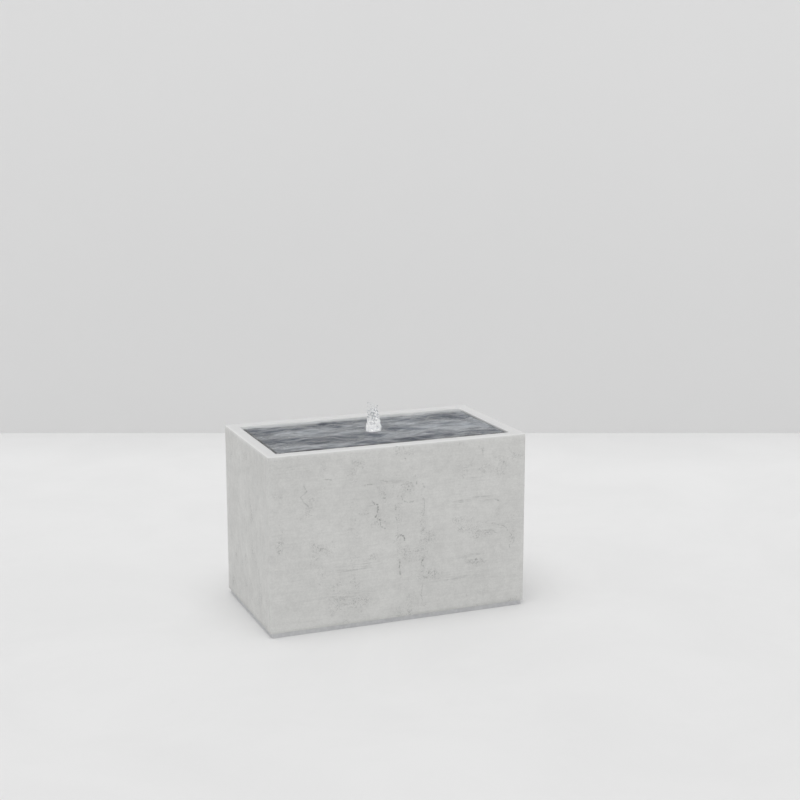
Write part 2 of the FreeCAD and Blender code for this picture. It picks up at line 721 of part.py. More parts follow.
def strainer(x0, x1, open_side):
    """Half of the slotted strainer box, open towards the parting plane."""
    outer = block(x0, x1, STRAINER_LEFT, STRAINER_RIGHT, STRAINER_BOTTOM, STRAINER_TOP)
    outer = round_edges(outer, 6.0, lambda b: b.XLength > 10)
    wall = STRAINER_WALL
    in0 = x0 - 1 if open_side < 0 else x0 + wall
    in1 = x1 + 1 if open_side > 0 else x1 - wall
    inner = block(
        in0,
        in1,
        STRAINER_LEFT + wall,
        STRAINER_RIGHT - wall,
        STRAINER_BOTTOM + wall,
        STRAINER_TOP - wall,
    )
    inner = round_edges(inner, 4.0, lambda b: b.XLength > 10)
    shell = outer.cut(inner)
    slot_low, slot_high = STRAINER_BOTTOM + SLOT_END, STRAINER_TOP - SLOT_END
    slots = []
    for k in range(int((x1 - x0 - 20) / SLOT_PITCH) + 1):
        x = x0 + 9 + k * SLOT_PITCH
        slots.append(block(x, x + SLOT, STRAINER_LEFT - 1, STRAINER_RIGHT + 1, slot_low, slot_high))
    end = x0 if open_side > 0 else x1
    for k in range(int((STRAINER_RIGHT - STRAINER_LEFT - 22) / SLOT_PITCH) + 1):
        y = STRAINER_LEFT + 10 + k * SLOT_PITCH
        slots.append(block(end - 3, end + 3, y, y + SLOT, slot_low, slot_high))
    shell = shell.cut(group(slots))
    return shell.cut(rod(COUPLING_RADIUS + 0.6, STRAINER_TOP - 5, STRAINER_TOP + 5))


def strainer_rear():
    """Rear half, with two ribs that the motor stands on."""
    shell = strainer(STRAINER_BACK, 0.0, 1)
    ribs = [
        block(
            x,
            x + RIB,
            SHAFT_Y - MOTOR_HALF_WIDTH + 8,
            SHAFT_Y + MOTOR_HALF_WIDTH - 8,
            STRAINER_BOTTOM + STRAINER_WALL,
            SHAFT_Z - MOTOR_HALF_HEIGHT,
        )
        for x in RIB_BACKS
    ]
    cable_hole = bar(
        INLET_BOSS, STRAINER_BACK - 1, STRAINER_BACK + 5, SHAFT_Y, SHAFT_Z + INLET_RISE
    )
    return fuse([shell] + ribs).cut(cable_hole)


def strainer_front():
    """Front half, which pulls off for cleaning."""
    return strainer(FREE, STRAINER_FRONT, -1)


def pump_feet():
    """Rubber suction feet."""
    cup = [
        (0, STRAINER_BOTTOM),
        (0, FLOOR + 3),
        (9, FLOOR),
        (12, FLOOR),
        (5, STRAINER_BOTTOM - 3),
        (6, STRAINER_BOTTOM),
    ]
    rows = (STRAINER_LEFT + FOOT_INSET, STRAINER_RIGHT - FOOT_INSET)
    return group([revolve(cup, x, y) for x in FOOT_ROWS for y in rows])


# ---------------------------------------------------------------- riser
COUPLING_RADIUS = 15.0
COUPLING_BELOW = 10.0
COUPLING_ABOVE = 18.0
LOCK_RADIUS = 17.0
LOCK_BELOW = 18.0
LOCK_SHOULDER = 6.0
LOCK_GRIPS = 20
SEAL_RING = 5.0


def riser_coupling():
    """Sleeve that joins the riser to the pump's outlet."""
    low, high = RISER_BOTTOM - COUPLING_BELOW, RISER_BOTTOM + COUPLING_ABOVE
    return tube(COUPLING_RADIUS, OUTLET_RADIUS + RUNNING, low, high)


def riser_lower():
    """Fixed tube on the pump's outlet."""
    return tube(RISER_OUT, RISER_IN, RISER_BOTTOM, RISER_LOWER_TOP)


def riser_seal():
    """Rubber ring that the lock ring squeezes onto the sliding tube."""
    return tube(RISER_OUT, SLIDER_OUT + RUNNING, RISER_LOWER_TOP, RISER_LOWER_TOP + SEAL_RING)


def riser_lock_ring():
    """Knurled nut at the top of the lower tube."""
    low = RISER_LOWER_TOP - LOCK_BELOW
    seat = RISER_LOWER_TOP + SEAL_RING + FREE
    top = seat + LOCK_SHOULDER
    nut = rod(LOCK_RADIUS, low, top)
    nut = round_edges(nut, 1.5, lambda b: b.ZLength < 1e-3)
    grip_places = around(LOCK_GRIPS, LOCK_RADIUS + 0.4)
    grooves = [rod(1.4, low + 3, top - 3, x, y) for x, y in grip_places]
    nut = nut.cut(group(grooves))
    nut = nut.cut(rod(RISER_OUT + FREE, low - 1, seat))
    return nut.cut(rod(SLIDER_OUT + FREE, low, top + 1))


def riser_upper():
    """Sliding tube that carries nozzle and light."""
    return tube(SLIDER_OUT, SLIDER_IN, SLIDER_TOP - RISER_UPPER_LENGTH, SLIDER_TOP)


# ---------------------------------------------------------------- nozzle
NOZZLE_RADIUS = 12.5
CUP_RADIUS = 10.0
CUP_DEPTH = 14.0
INSERT_DISC = 3.5


def nozzle_body():
    """Bubbler: a wide cup on a tube, with a collar that the light sits on."""
    made = revolve(
        [
            (0, NOZZLE_BOTTOM),
            (LIGHT_BORE + 3, NOZZLE_BOTTOM),
            (LIGHT_BORE + 3, LIGHT_BOTTOM),
            (NOZZLE_RADIUS, LIGHT_BOTTOM),
            (NOZZLE_RADIUS, NOZZLE_TOP - 1),
            (NOZZLE_RADIUS - 1, NOZZLE_TOP),
            (0, NOZZLE_TOP),
        ]
    )
    made = made.cut(rod(SLIDER_OUT + RUNNING, NOZZLE_BOTTOM - 1, SLIDER_TOP))
    made = made.cut(rod(SLIDER_IN, NOZZLE_BOTTOM, NOZZLE_TOP))
    return made.cut(rod(CUP_RADIUS, NOZZLE_TOP - CUP_DEPTH, NOZZLE_TOP + 1))


def nozzle_insert():
    """Drilled disc that breaks the stream up into a soft dome of water."""
    low = NOZZLE_TOP - CUP_DEPTH
    disc = rod(CUP_RADIUS - RUNNING, low, low + INSERT_DISC)
    holes = [rod(1.6, low - 1, low + 5)]
    holes += [rod(1.3, low - 1, low + 5, x, y) for x, y in around(6, 5.0)]
    return disc.cut(group(holes))


# ---------------------------------------------------------------- ring light
BEZEL = 1.5
LENS = 4.0
LENS_IN, LENS_OUT = 17.0, 37.0
LEDGE = 2.0
LIGHT_FLOOR = 3.0
GASKET = 1.0
LIGHT_SCREW_CIRCLE = 39.5
LIGHT_SCREW = 1.2
LIGHT_SCREWS = 6
BOARD = 1.6
LIGHT_BOSS = 5.0
LIGHT_BOSS_LENGTH = 7.0
LIGHT_CABLE = 2.2


def light_levels():
    """Heights of the lens's top, its bottom and the ledge it is sealed on."""
    lens_top = LIGHT_TOP - BEZEL
    lens_bottom = lens_top - LENS
    return lens_top, lens_bottom, lens_bottom - GASKET


def light_housing():
    """Moulded ring channel around the nozzle, with a cable inlet below."""
    lens_top, _, ledge = light_levels()
    ring = tube(LIGHT_RADIUS, LIGHT_BORE, LIGHT_BOTTOM, lens_top)
    middle = (LENS_IN + LENS_OUT) / 2
    boss = rod(LIGHT_BOSS, LIGHT_BOTTOM - LIGHT_BOSS_LENGTH, LIGHT_BOTTOM, -middle)
    inlet = rod(LIGHT_CABLE, LIGHT_BOTTOM - 8, LIGHT_BOTTOM + LIGHT_FLOOR + 1, -middle)
    ring = fuse([ring, boss]).cut(inlet)
    ring = ring.cut(tube(LENS_OUT, LENS_IN, ledge, lens_top + 1))
    ring = ring.cut(tube(LENS_OUT - LEDGE, LENS_IN + LEDGE, LIGHT_BOTTOM + LIGHT_FLOOR, lens_top))
    holes = [
        rod(LIGHT_SCREW + RUNNING, lens_top - 9, lens_top + 1, x, y)
        for x, y in around(LIGHT_SCREWS, LIGHT_SCREW_CIRCLE)
    ]
    return ring.cut(group(holes))


def light_board():
    """Ring-shaped circuit board."""
    z = LIGHT_BOTTOM + LIGHT_FLOOR
    return tube(LENS_OUT - LEDGE - 0.5, LENS_IN + LEDGE + 0.5, z, z + BOARD)


def light_leds():
    """LED packages, each a small base with a domed top."""
    z = LIGHT_BOTTOM + LIGHT_FLOOR + BOARD
    made = []
    for x, y in around(LED_COUNT, (LENS_IN + LENS_OUT) / 2):
        base = slab(5, 5, z, z + 1, x, y)
        dome = Part.makeSphere(1.9, FreeCAD.Vector(x, y, z + 1), Z_AXIS, 0, 90, 360)
        made.append(fuse([base, dome]))
    return group(made)


def light_gaskets():
    """Inner and outer rubber rings under the lens."""
    _, lens_bottom, ledge = light_levels()
    outer = tube(LENS_OUT - RUNNING, LENS_OUT - LEDGE, ledge, lens_bottom)
    inner = tube(LENS_IN + LEDGE, LENS_IN + RUNNING, ledge, lens_bottom)
    return group([outer, inner])


def light_lens():
    """Clear cover ring."""
    lens_top, lens_bottom, _ = light_levels()
    return tube(LENS_OUT - RUNNING, LENS_IN + RUNNING, lens_bottom, lens_top)


def light_bezel():
    """Thin steel ring that holds the lens down."""
    lens_top, _, _ = light_levels()
    ring = tube(LIGHT_RADIUS, LENS_OUT - 3, lens_top, LIGHT_TOP)
    holes = [
        rod(LIGHT_SCREW + RUNNING, lens_top - 1, LIGHT_TOP + 1, x, y)
        for x, y in around(LIGHT_SCREWS, LIGHT_SCREW_CIRCLE)
    ]
    return ring.cut(group(holes))


def light_screws():
    """Small screws that hold the bezel to the housing."""
    lens_top, _, _ = light_levels()
    made = []
    for x, y in around(LIGHT_SCREWS, LIGHT_SCREW_CIRCLE):
        shank = rod(LIGHT_SCREW, lens_top - 8, LIGHT_TOP, x, y)
        head = rod(2.2, LIGHT_TOP, LIGHT_TOP + 1.3, x, y)
        made.append(fuse([shank, head]))
    return group(made)


# ---------------------------------------------------------------- water
def water_surface():
    """The top few millimetres of the water, from wall to wall."""
    return slab(OPENING_X - 2 * FREE, OPENING_Y - 2 * FREE, WATER_TOP - WATER_SKIN, WATER_TOP)


def water_jet():
    """Bubbling column of water, widest where it falls back onto the surface."""
    foot = WATER_TOP + FREE
    neck = foot + JET_FLARE_HEIGHT
    crown = WATER_TOP + JET_HEIGHT - JET_RADIUS
    column = revolve(
        [
            (0, foot),
            (JET_FOOT_RADIUS, foot),
            (JET_FOOT_RADIUS, foot + JET_FLARE_HEIGHT / 3),
            (JET_RADIUS, neck),
            (JET_RADIUS, crown),
            (0, crown),
        ]
    )
    dome = Part.makeSphere(JET_RADIUS, FreeCAD.Vector(0, 0, crown), Z_AXIS, 0, 90, 360)
    return fuse([column, dome])


# ---------------------------------------------------------------- export
NODES = (
    casing,
    rim_inserts,
    plinth_frame,
    cable_grommet,
    basin_bearers,
    bearer_bolts,
    bearer_nuts,
    casing_brackets,
    bracket_screws,
    basin,
    rim_seal,
    flange_screws,
    basin_pads,
    drain_body,
    drain_washer,
    drain_locknut,
    drain_plug,
    drain_o_ring,
    gland_body,
    gland_sleeve,
    gland_cap,
    gland_washer,
    gland_locknut,
    pump_motor,
    pump_volute,
    volute_o_ring,
    rotor_shaft,
    shaft_bush,
    rotor_magnet,
    impeller,
    flow_dial,
    dial_clip,
    strainer_rear,
    strainer_front,
    pump_feet,
    riser_coupling,
    riser_lower,
    riser_seal,
    riser_lock_ring,
    riser_upper,
    nozzle_body,
    nozzle_insert,
    light_housing,
    light_board,
    light_leds,
    light_gaskets,
    light_lens,
    light_bezel,
    light_screws,
    water_surface,
    water_jet,
)

os.makedirs("parts", exist_ok=True)
for make in NODES:
    shape = make()
    solids = shape.Solids
    sound = all(s.isValid() and s.Volume > 0 for s in solids)
    print(f"{make.__name__}: {len(solids)} solids, {shape.Volume / 1e6:.4f} l, valid {sound}")
    shape.exportStep(f"parts/{make.__name__}.step")
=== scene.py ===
import json
import math
import random

import bmesh
import bpy
import numpy as np
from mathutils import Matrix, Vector, noise


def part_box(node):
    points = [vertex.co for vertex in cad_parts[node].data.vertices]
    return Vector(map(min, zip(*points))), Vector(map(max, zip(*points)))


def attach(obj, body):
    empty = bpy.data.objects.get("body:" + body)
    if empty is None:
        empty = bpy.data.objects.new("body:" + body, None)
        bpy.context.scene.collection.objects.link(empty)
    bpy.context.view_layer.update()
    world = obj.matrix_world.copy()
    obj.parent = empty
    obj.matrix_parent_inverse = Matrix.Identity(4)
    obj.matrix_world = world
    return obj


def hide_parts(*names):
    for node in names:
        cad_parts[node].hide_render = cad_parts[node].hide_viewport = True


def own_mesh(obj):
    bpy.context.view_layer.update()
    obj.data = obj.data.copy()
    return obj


# A garden fountain: a rectangular concrete block on a recessed plinth, full to the
# brim with dark water, with a low frothy jet in the middle. Metres, in the part's own
# frame: +X along the block, -Y to the front, +Z up.

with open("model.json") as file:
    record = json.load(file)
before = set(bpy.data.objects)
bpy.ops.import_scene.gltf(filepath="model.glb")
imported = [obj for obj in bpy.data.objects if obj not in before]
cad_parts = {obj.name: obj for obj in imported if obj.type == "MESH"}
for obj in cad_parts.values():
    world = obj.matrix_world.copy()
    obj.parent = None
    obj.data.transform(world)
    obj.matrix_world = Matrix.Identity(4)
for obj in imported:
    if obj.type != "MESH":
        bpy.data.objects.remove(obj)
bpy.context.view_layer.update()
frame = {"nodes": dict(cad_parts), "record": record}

MM = 0.001
UP = Vector((0, 0, 1))

# ------------------------------------------------------------------ places from the frame
casing_low, casing_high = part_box("casing")
water_low, water_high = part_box("water_surface")
_, seal_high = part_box("rim_seal")
_, jet_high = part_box("water_jet")

HALF_X, HALF_Y = casing_high[0], casing_high[1]
RIM_TOP = casing_high[2]
CASING_BOTTOM = casing_low[2]
WATER_LEVEL = water_high[2]
WATER_GAP = 0.3 * MM  # between the water slab and the rim
RIM_WIDTH = HALF_X - water_high[0] - WATER_GAP
SEAL_GAP = 1 * MM  # between the seal and the inside of the wall
WALL = HALF_X - seal_high[0] - SEAL_GAP
RIM_UNDERSIDE = seal_high[2]
JET_TOP = jet_high[2]


# ------------------------------------------------------------------ materials
WATER_IOR = 1.333
ACRYLIC_IOR = 1.49
BORDER = (10 * MM, 17 * MM)  # painted shade, a dark strip by the left wall: full up to here, gone by there
BORDER_RIGHT = 2.6  # that many times narrower by the right wall
BORDER_FRONT = 0.42  # and wider, by 1 / 0.42, by the front one
BORDER_STRENGTH = 0.9
LIT_BAND = (14 * MM, 40 * MM)  # painted light, a pale band over the ledge along the back wall: full up to here, gone by there
LIT_BAND_STRAY = 6 * MM
FROTH_THICK = 30 * MM  # height above the water up to which the jet is at its whitest and its painted glow strongest
FROTH_THIN = 75 * MM  # and from which it is at its clearest and its painted glow weakest


class Surface:
    """A material whose colour, roughness and relief come from procedural nodes."""

    def __init__(self, name, **constants):
        self.material = bpy.data.materials.new(name)
        self.material.use_nodes = True
        self.tree = self.material.node_tree
        self.shader = self.tree.nodes["Principled BSDF"]
        for socket, value in constants.items():
            self.shader.inputs[socket.replace("_", " ")].default_value = value
        self.where = self.tree.nodes.new("ShaderNodeTexCoord")

    def put(self, socket, value):
        """Links a socket, or sets it where value is a plain number or colour."""
        if isinstance(value, bpy.types.NodeSocket):
            self.tree.links.new(value, socket)
        else:
            socket.default_value = value

    def stretched(self, scale, turn=(0, 0, 0)):
        """Object coordinates, scaled along each axis."""
        node = self.tree.nodes.new("ShaderNodeMapping")
        self.put(node.inputs["Vector"], self.where.outputs["Object"])
        node.inputs["Scale"].default_value = scale
        node.inputs["Rotation"].default_value = turn
        return node.outputs["Vector"]

    def noise(self, scale, detail=2.0, roughness=0.5, distortion=0.0, vector=None):
        node = self.tree.nodes.new("ShaderNodeTexNoise")
        self.put(node.inputs["Vector"], vector or self.where.outputs["Object"])
        for name, value in (
            ("Scale", scale),
            ("Detail", detail),
            ("Roughness", roughness),
            ("Distortion", distortion),
        ):
            node.inputs[name].default_value = value
        return node.outputs[0]

    def cells(self, scale, feature="F1"):
        node = self.tree.nodes.new("ShaderNodeTexVoronoi")
        node.feature = feature
        self.put(node.inputs["Vector"], self.where.outputs["Object"])
        node.inputs["Scale"].default_value = scale
        return node.outputs["Distance"]

    def axes(self, output="Object"):
        """The x, y and z sockets of these coordinates."""
        node = self.tree.nodes.new("ShaderNodeSeparateXYZ")
        self.put(node.inputs[0], self.where.outputs[output])
        return node.outputs

    def attribute(self, name):
        node = self.tree.nodes.new("ShaderNodeAttribute")
        node.attribute_name = name
        return node.outputs["Fac"]

    def math(self, operation, a, b=0.0, clamp=False):
        node = self.tree.nodes.new("ShaderNodeMath")
        node.operation = operation
        node.use_clamp = clamp
        self.put(node.inputs[0], a)
        self.put(node.inputs[1], b)
        return node.outputs[0]

    def range(self, value, low, high, to_low=0.0, to_high=1.0):
        """Carries low..high over to to_low..to_high, clamped, with soft ends."""
        node = self.tree.nodes.new("ShaderNodeMapRange")
        node.interpolation_type = "SMOOTHSTEP"
        self.put(node.inputs["Value"], value)
        for name, number in (
            ("From Min", low),
            ("From Max", high),
            ("To Min", to_low),
            ("To Max", to_high),
        ):
            node.inputs[name].default_value = number
        return node.outputs["Result"]

    def mix(self, factor, a, b, blend="MIX"):
        """Colour a where factor is 0, colour b where it is 1."""
        node = self.tree.nodes.new("ShaderNodeMix")
        node.data_type = "RGBA"
        node.blend_type = blend
        self.put(node.inputs[0], factor)
        self.put(node.inputs[6], a)  # the Mix node's sockets for colours
        self.put(node.inputs[7], b)
        return node.outputs[2]

    def blend(self, factor, a, b):
        """The same for plain values."""
        node = self.tree.nodes.new("ShaderNodeMix")
        self.put(node.inputs[0], factor)
        self.put(node.inputs[2], a)  # and those for values
        self.put(node.inputs[3], b)
        return node.outputs[0]

    def wall_shade(self):
        """Painted shade: high in a dark strip of water by the left, right and front wall, which is
        widest in front.
        """
        x, y, _ = self.axes()
        left = self.math("SUBTRACT", x, -water_high[0])
        right = self.math("SUBTRACT", water_high[0], x)
        front = self.math("SUBTRACT", y, -water_high[1])
        gap = self.math("MINIMUM", self.math("MULTIPLY", right, BORDER_RIGHT), left)
        gap = self.math("MINIMUM", self.math("MULTIPLY", front, BORDER_FRONT), gap)
        return self.range(gap, *BORDER, BORDER_STRENGTH, 0.0)

    def blotch(self, place, stray, x, y, long, deep):
        """1 at a spot on the plan, 0 outside an uneven oval of this half length and depth."""
        a = self.math("DIVIDE", self.math("SUBTRACT", place[0], x), long)
        b = self.math("DIVIDE", self.math("SUBTRACT", place[1], y), deep)
        off = self.math("ADD", self.math("MULTIPLY", a, a), self.math("MULTIPLY", b, b))
        return self.range(self.math("ADD", off, stray), 0.0, 2.0, 1.0, 0.0)

    def facing(self, axis):
        """1 on faces that look along this axis of the object, else 0."""
        return self.range(self.math("ABSOLUTE", self.axes("Normal")[axis]), 0.6, 0.75)

    def relief(self, *layers):
        """Bump from (height, depth in metres) layers, added up."""
        total = None
        for height, depth in layers:
            layer = self.math("MULTIPLY", height, depth / MM)
            total = layer if total is None else self.math("ADD", total, layer)
        node = self.tree.nodes.new("ShaderNodeBump")
        node.inputs["Distance"].default_value = MM
        self.put(node.inputs["Height"], total)
        self.put(self.shader.inputs["Normal"], node.outputs["Normal"])

    def finish(self, colour, roughness=None):
        """Sets the colour, and the roughness where it isn't the same all over."""
        self.put(self.shader.inputs["Base Color"], colour)
        if roughness is not None:
            self.put(self.shader.inputs["Roughness"], roughness)
        return self.material


def shade(colour, factor):
    return (*(min(c * factor, 1.0) for c in colour[:3]), 1.0)


def concrete():
    """Trowelled concrete: soft clouds, faint drag lines, specks and short dark skin marks, with
    painted shade on the top faces and a painted highlight on the lip and the outer top edge.
    """
    s = Surface("concrete", Specular_IOR_Level=0.25)
    pale, dark = (0.795, 0.795, 0.778, 1), (0.620, 0.620, 0.606, 1)
    top_shade_colour, mark_colour = (0.655, 0.657, 0.659, 1), (0.25, 0.253, 0.25, 1)
    sideways = s.facing(0)
    upwards = s.facing(2)
    plain = s.math("SUBTRACT", 1.0, upwards)

    # trowel lines run level on the long sides and upright on the short ones
    level = s.noise(1.0, 4, 0.65, 0.4, vector=s.stretched((9, 9, 120)))
    upright = s.noise(1.0, 4, 0.65, 0.4, vector=s.stretched((9, 110, 8)))
    drawn = s.blend(sideways, level, upright)
    clouds = s.noise(4.5, 4, 0.6, 0.6)
    patches = s.noise(32, 4, 0.62, 0.5)
    mottle = s.noise(190, 3, 0.65)
    grain = s.noise(700, 2, 0.7)
    tone = s.math("MULTIPLY", s.range(clouds, 0.32, 0.68), 0.24)
    for layer, low, high, share in (
        (patches, 0.34, 0.66, 0.22),
        (drawn, 0.34, 0.66, 0.16),
        (mottle, 0.34, 0.66, 0.26),
        (grain, 0.2, 0.8, 0.12),
    ):
        tone = s.math("ADD", tone, s.math("MULTIPLY", s.range(layer, low, high), share))
    colour = s.mix(tone, pale, dark)

    # specks and curled hairlines, thick on the worn places and rare elsewhere
    stray = s.range(s.noise(14, 3, 0.6), 0.46, 0.72, 0.0, 0.75)
    wear = s.math("MAXIMUM", s.attribute("wear"), stray)
    speck = s.range(s.noise(215, 3, 0.6, 1.0), 0.53, 0.66)
    some = s.range(s.math("MULTIPLY", wear, s.noise(42, 4, 0.7, 0.6)), 0.14, 0.44)
    specks = s.math("MULTIPLY", speck, some)
    bent = s.noise(75, 3, 0.62, 1.4)
    line = s.range(s.math("ABSOLUTE", s.math("SUBTRACT", bent, 0.5)), 0.004, 0.030, 1.0, 0.0)
    broken = s.range(s.noise(150, 2), 0.44, 0.60)
    hairlines = s.math("MULTIPLY", s.math("MULTIPLY", line, broken), s.range(wear, 0.1, 0.7))
    # thin level scratches in bundles
    scratch = s.noise(1.0, 4, 0.65, 0.6, vector=s.stretched((13, 13, 240), (0, 0.05, 0)))
    gaps = s.range(s.noise(45, 3, 0.6), 0.30, 0.62)
    drag = s.math("MULTIPLY", s.attribute("drag"), gaps)
    scratches = s.math("MULTIPLY", s.range(scratch, 0.42, 0.66), drag)
    loose = s.math("MULTIPLY", s.range(scratch, 0.62, 0.74), s.range(s.noise(9, 1), 0.46, 0.62))
    loose = s.math("MULTIPLY", s.math("MULTIPLY", loose, gaps), s.math("SUBTRACT", 1.0, sideways))
    flaws = s.math("MULTIPLY", specks, 0.72)
    for layer, strength in ((hairlines, 0.50), (scratches, 0.55), (loose, 0.36)):
        flaws = s.math("MAXIMUM", flaws, s.math("MULTIPLY", layer, strength))
    flaws = s.math("MULTIPLY", flaws, plain)
    flaws = s.math("MAXIMUM", flaws, s.attribute("mark"))
    colour = s.mix(flaws, colour, mark_colour)
    # painted shade: the upward faces, the rim top among them, are mixed towards a darker grey than
    # the sides
    colour = s.mix(s.math("MULTIPLY", upwards, 0.75), colour, top_shade_colour)
    # painted highlight: the lip above the water and the outer top edge are mixed towards
    # near-white
    painted_light = s.math("MULTIPLY", s.attribute("painted_light"), s.range(mottle, 0.2, 0.8, 0.8, 1.0))
    colour = s.mix(painted_light, colour, (0.93, 0.93, 0.925, 1))

    s.relief((drawn, 0.10 * MM), (patches, 0.22 * MM), (mottle, 0.10 * MM), (flaws, -0.3 * MM))
    return s.finish(colour, s.range(tone, 0.1, 0.9, 0.78, 0.93))


def still_water():
    """The skin of the water: clear, mirroring at low angles, with foam by the jet and painted
    glints in broken rings round it.
    """
    s = Surface("still_water", IOR=WATER_IOR)
    foam = s.attribute("foam")
    lines = s.range(s.cells(130, "DISTANCE_TO_EDGE"), 0.0, 0.11, 1.0, 0.0)
    froth = s.math("MULTIPLY", foam, lines)
    # painted reflection: white broken rings stand for light mirrored by the ripples round the jet,
    # so froth holds both the real foam and these painted glints
    froth = s.math("MAXIMUM", froth, s.math("MULTIPLY", s.attribute("ripple_glints"), 0.5))
    colour = s.mix(froth, (0.93, 0.955, 0.97, 1), (0.86, 0.87, 0.88, 1))
    s.put(s.shader.inputs["Transmission Weight"], s.math("SUBTRACT", 1.0, froth))
    # painted shade: the skin mirrors less in the dark strip by the walls
    s.put(s.shader.inputs["Specular IOR Level"], s.blend(s.wall_shade(), 0.5, 0.12))
    chop = s.noise(1.0, 3, 0.55, 0.6, vector=s.stretched((34, 55, 40)))
    fine = s.noise(1.0, 2, 0.5, 0.5, vector=s.stretched((85, 150, 90)))
    s.relief((chop, 0.95 * MM), (fine, 0.50 * MM))
    return s.finish(colour, s.blend(froth, 0.02, 0.3))


# Painted reflections, dark and pale places in the water: x, y, half length, half depth (m), lift
# in tone.
REFLECTION_PATCHES = (
    (-0.20, 0.140, 0.17, 0.045, -0.26),
    (-0.37, 0.060, 0.06, 0.060, -0.24),
    (-0.21, -0.060, 0.12, 0.040, -0.30),
    (-0.08, -0.090, 0.10, 0.060, -0.24),
    (0.13, -0.175, 0.16, 0.035, -0.34),
    (0.29, 0.110, 0.14, 0.045, -0.30),
    (0.07, 0.010, 0.08, 0.060, -0.16),
    (-0.25, 0.060, 0.13, 0.035, 0.34),
    (-0.33, -0.140, 0.10, 0.045, 0.40),
    (-0.17, -0.135, 0.10, 0.028, 0.18),
    (0.20, 0.080, 0.11, 0.035, 0.30),
    (0.27, -0.035, 0.17, 0.045, 0.32),
)


def deep_water():
    """What lies under the skin: cloudy blue-grey depths with painted reflections, and a painted
    pale band of light over the ledge at the back.
    """
    s = Surface("deep_water", Specular_IOR_Level=0.0, Roughness=1.0)
    clouds = s.range(s.noise(1.0, 3, 0.55, 0.6, vector=s.stretched((8, 15, 8))), 0.34, 0.68)
    # painted reflections: pale streaks and dark and pale patches on the water's dark depths
    reflection_streaks = s.noise(1.0, 4, 0.6, 0.9, vector=s.stretched((14, 36, 20), (0, 0, 0.2)))
    tone = s.math("ADD", s.math("MULTIPLY", clouds, 0.22), 0.03)
    tone = s.math("ADD", tone, s.math("MULTIPLY", s.range(reflection_streaks, 0.40, 0.65), 0.54))
    place = s.axes()
    stray = s.math("MULTIPLY", s.math("SUBTRACT", s.noise(16, 3, 0.6, 0.5), 0.5), 2.4)
    for *spot, lift in REFLECTION_PATCHES:
        patch = s.blotch(place, stray, *spot)
        tone = s.math("ADD", tone, s.math("MULTIPLY", patch, lift))
    tone = s.math("ADD", tone, 0.0, clamp=True)
    colour = s.mix(tone, (0.105, 0.125, 0.165, 1), (0.69, 0.715, 0.75, 1))
    # painted light: along the back wall the depths turn opaque and near-white, a pale lit band
    gap = s.math("SUBTRACT", water_high[1], place[1])
    gap = s.math("ADD", gap, s.range(s.noise(14, 3, 0.55), 0.3, 0.7, -LIT_BAND_STRAY, LIT_BAND_STRAY))
    lit_band = s.range(gap, *LIT_BAND, 1.0, 0.0)
    # painted shade: the depths turn clear in the strip by the walls, so the dark basin shows as a
    # dark band
    inner = s.math("SUBTRACT", 1.0, s.wall_shade())
    dimmed = s.math("MULTIPLY", s.blend(clouds, 0.92, 0.97), inner)
    s.put(s.shader.inputs["Alpha"], s.math("MAXIMUM", dimmed, lit_band))
    return s.finish(s.mix(lit_band, colour, (0.90, 0.90, 0.90, 1)))


def white_water():
    """Water full of air: bright froth with a painted glow, strongest low down, and clearer, greyer
    spots, more of them higher up.
    """
    s = Surface(
        "white_water",
        IOR=WATER_IOR,
        Subsurface_Weight=0.9,
        Subsurface_Radius=(1.0, 1.0, 1.0),
        Subsurface_Scale=0.004,
    )
    height = s.range(s.axes()[2], WATER_LEVEL + FROTH_THICK, WATER_LEVEL + FROTH_THIN)
    patchy = s.math("ADD", s.noise(210, 3, 0.65, 0.8), s.math("MULTIPLY", height, 0.06))
    spots = s.range(patchy, 0.53, 0.61)
    bubbles = s.range(s.cells(420), 0.08, 0.42)
    colour = s.mix(spots, (0.99, 0.99, 0.99, 1), (0.38, 0.40, 0.42, 1))
    s.put(s.shader.inputs["Emission Color"], colour)  # painted glow: the froth gives off light of its own colour, standing in for light scattered about inside it
    s.put(s.shader.inputs["Emission Strength"], s.blend(height, 0.25, 0.10))
    s.relief((bubbles, 0.2 * MM), (s.noise(260, 2), 0.15 * MM))
    return s.finish(colour, s.blend(spots, 0.42, 0.15))


def plinth_metal():
    """Zinc-grey metal with a faint spangle, cement haze and handling marks."""
    s = Surface("plinth_metal", Metallic=0.2)
    spangle = s.cells(95, "SMOOTH_F1")
    haze = s.range(s.noise(9, 4, 0.6, 0.5), 0.35, 0.7)
    smear = s.noise(1.0, 3, 0.6, vector=s.stretched((9, 9, 160)))
    colour = s.mix(s.range(spangle, 0.1, 0.6), (0.70, 0.705, 0.72, 1), (0.62, 0.625, 0.64, 1))
    colour = s.mix(s.math("MULTIPLY", haze, 0.5), colour, (0.75, 0.755, 0.755, 1))
    s.relief((smear, 0.05 * MM), (s.noise(700, 2), 0.02 * MM))
    return s.finish(colour, s.blend(haze, 0.42, 0.62))


def plastic(name, colour, rough=0.45, grain=0.05, wear=0.25):
    """Moulded plastic: spark-eroded grain, slight flow clouds and rubbed patches."""
    s = Surface(name)
    flow = s.range(s.noise(24, 3, 0.5, 0.5), 0.35, 0.7)
    rubbed = s.range(s.noise(60, 4, 0.65), 0.55, 0.75)
    fine = s.noise(1500, 2, 0.6)
    mixed = s.mix(flow, shade(colour, 0.88), shade(colour, 1.12))
    mixed = s.mix(s.math("MULTIPLY", rubbed, wear), mixed, shade(colour, 1.7))
    s.relief((fine, grain * MM), (rubbed, 0.02 * MM))
    return s.finish(mixed, s.blend(rubbed, rough, max(rough - 0.14, 0.08)))


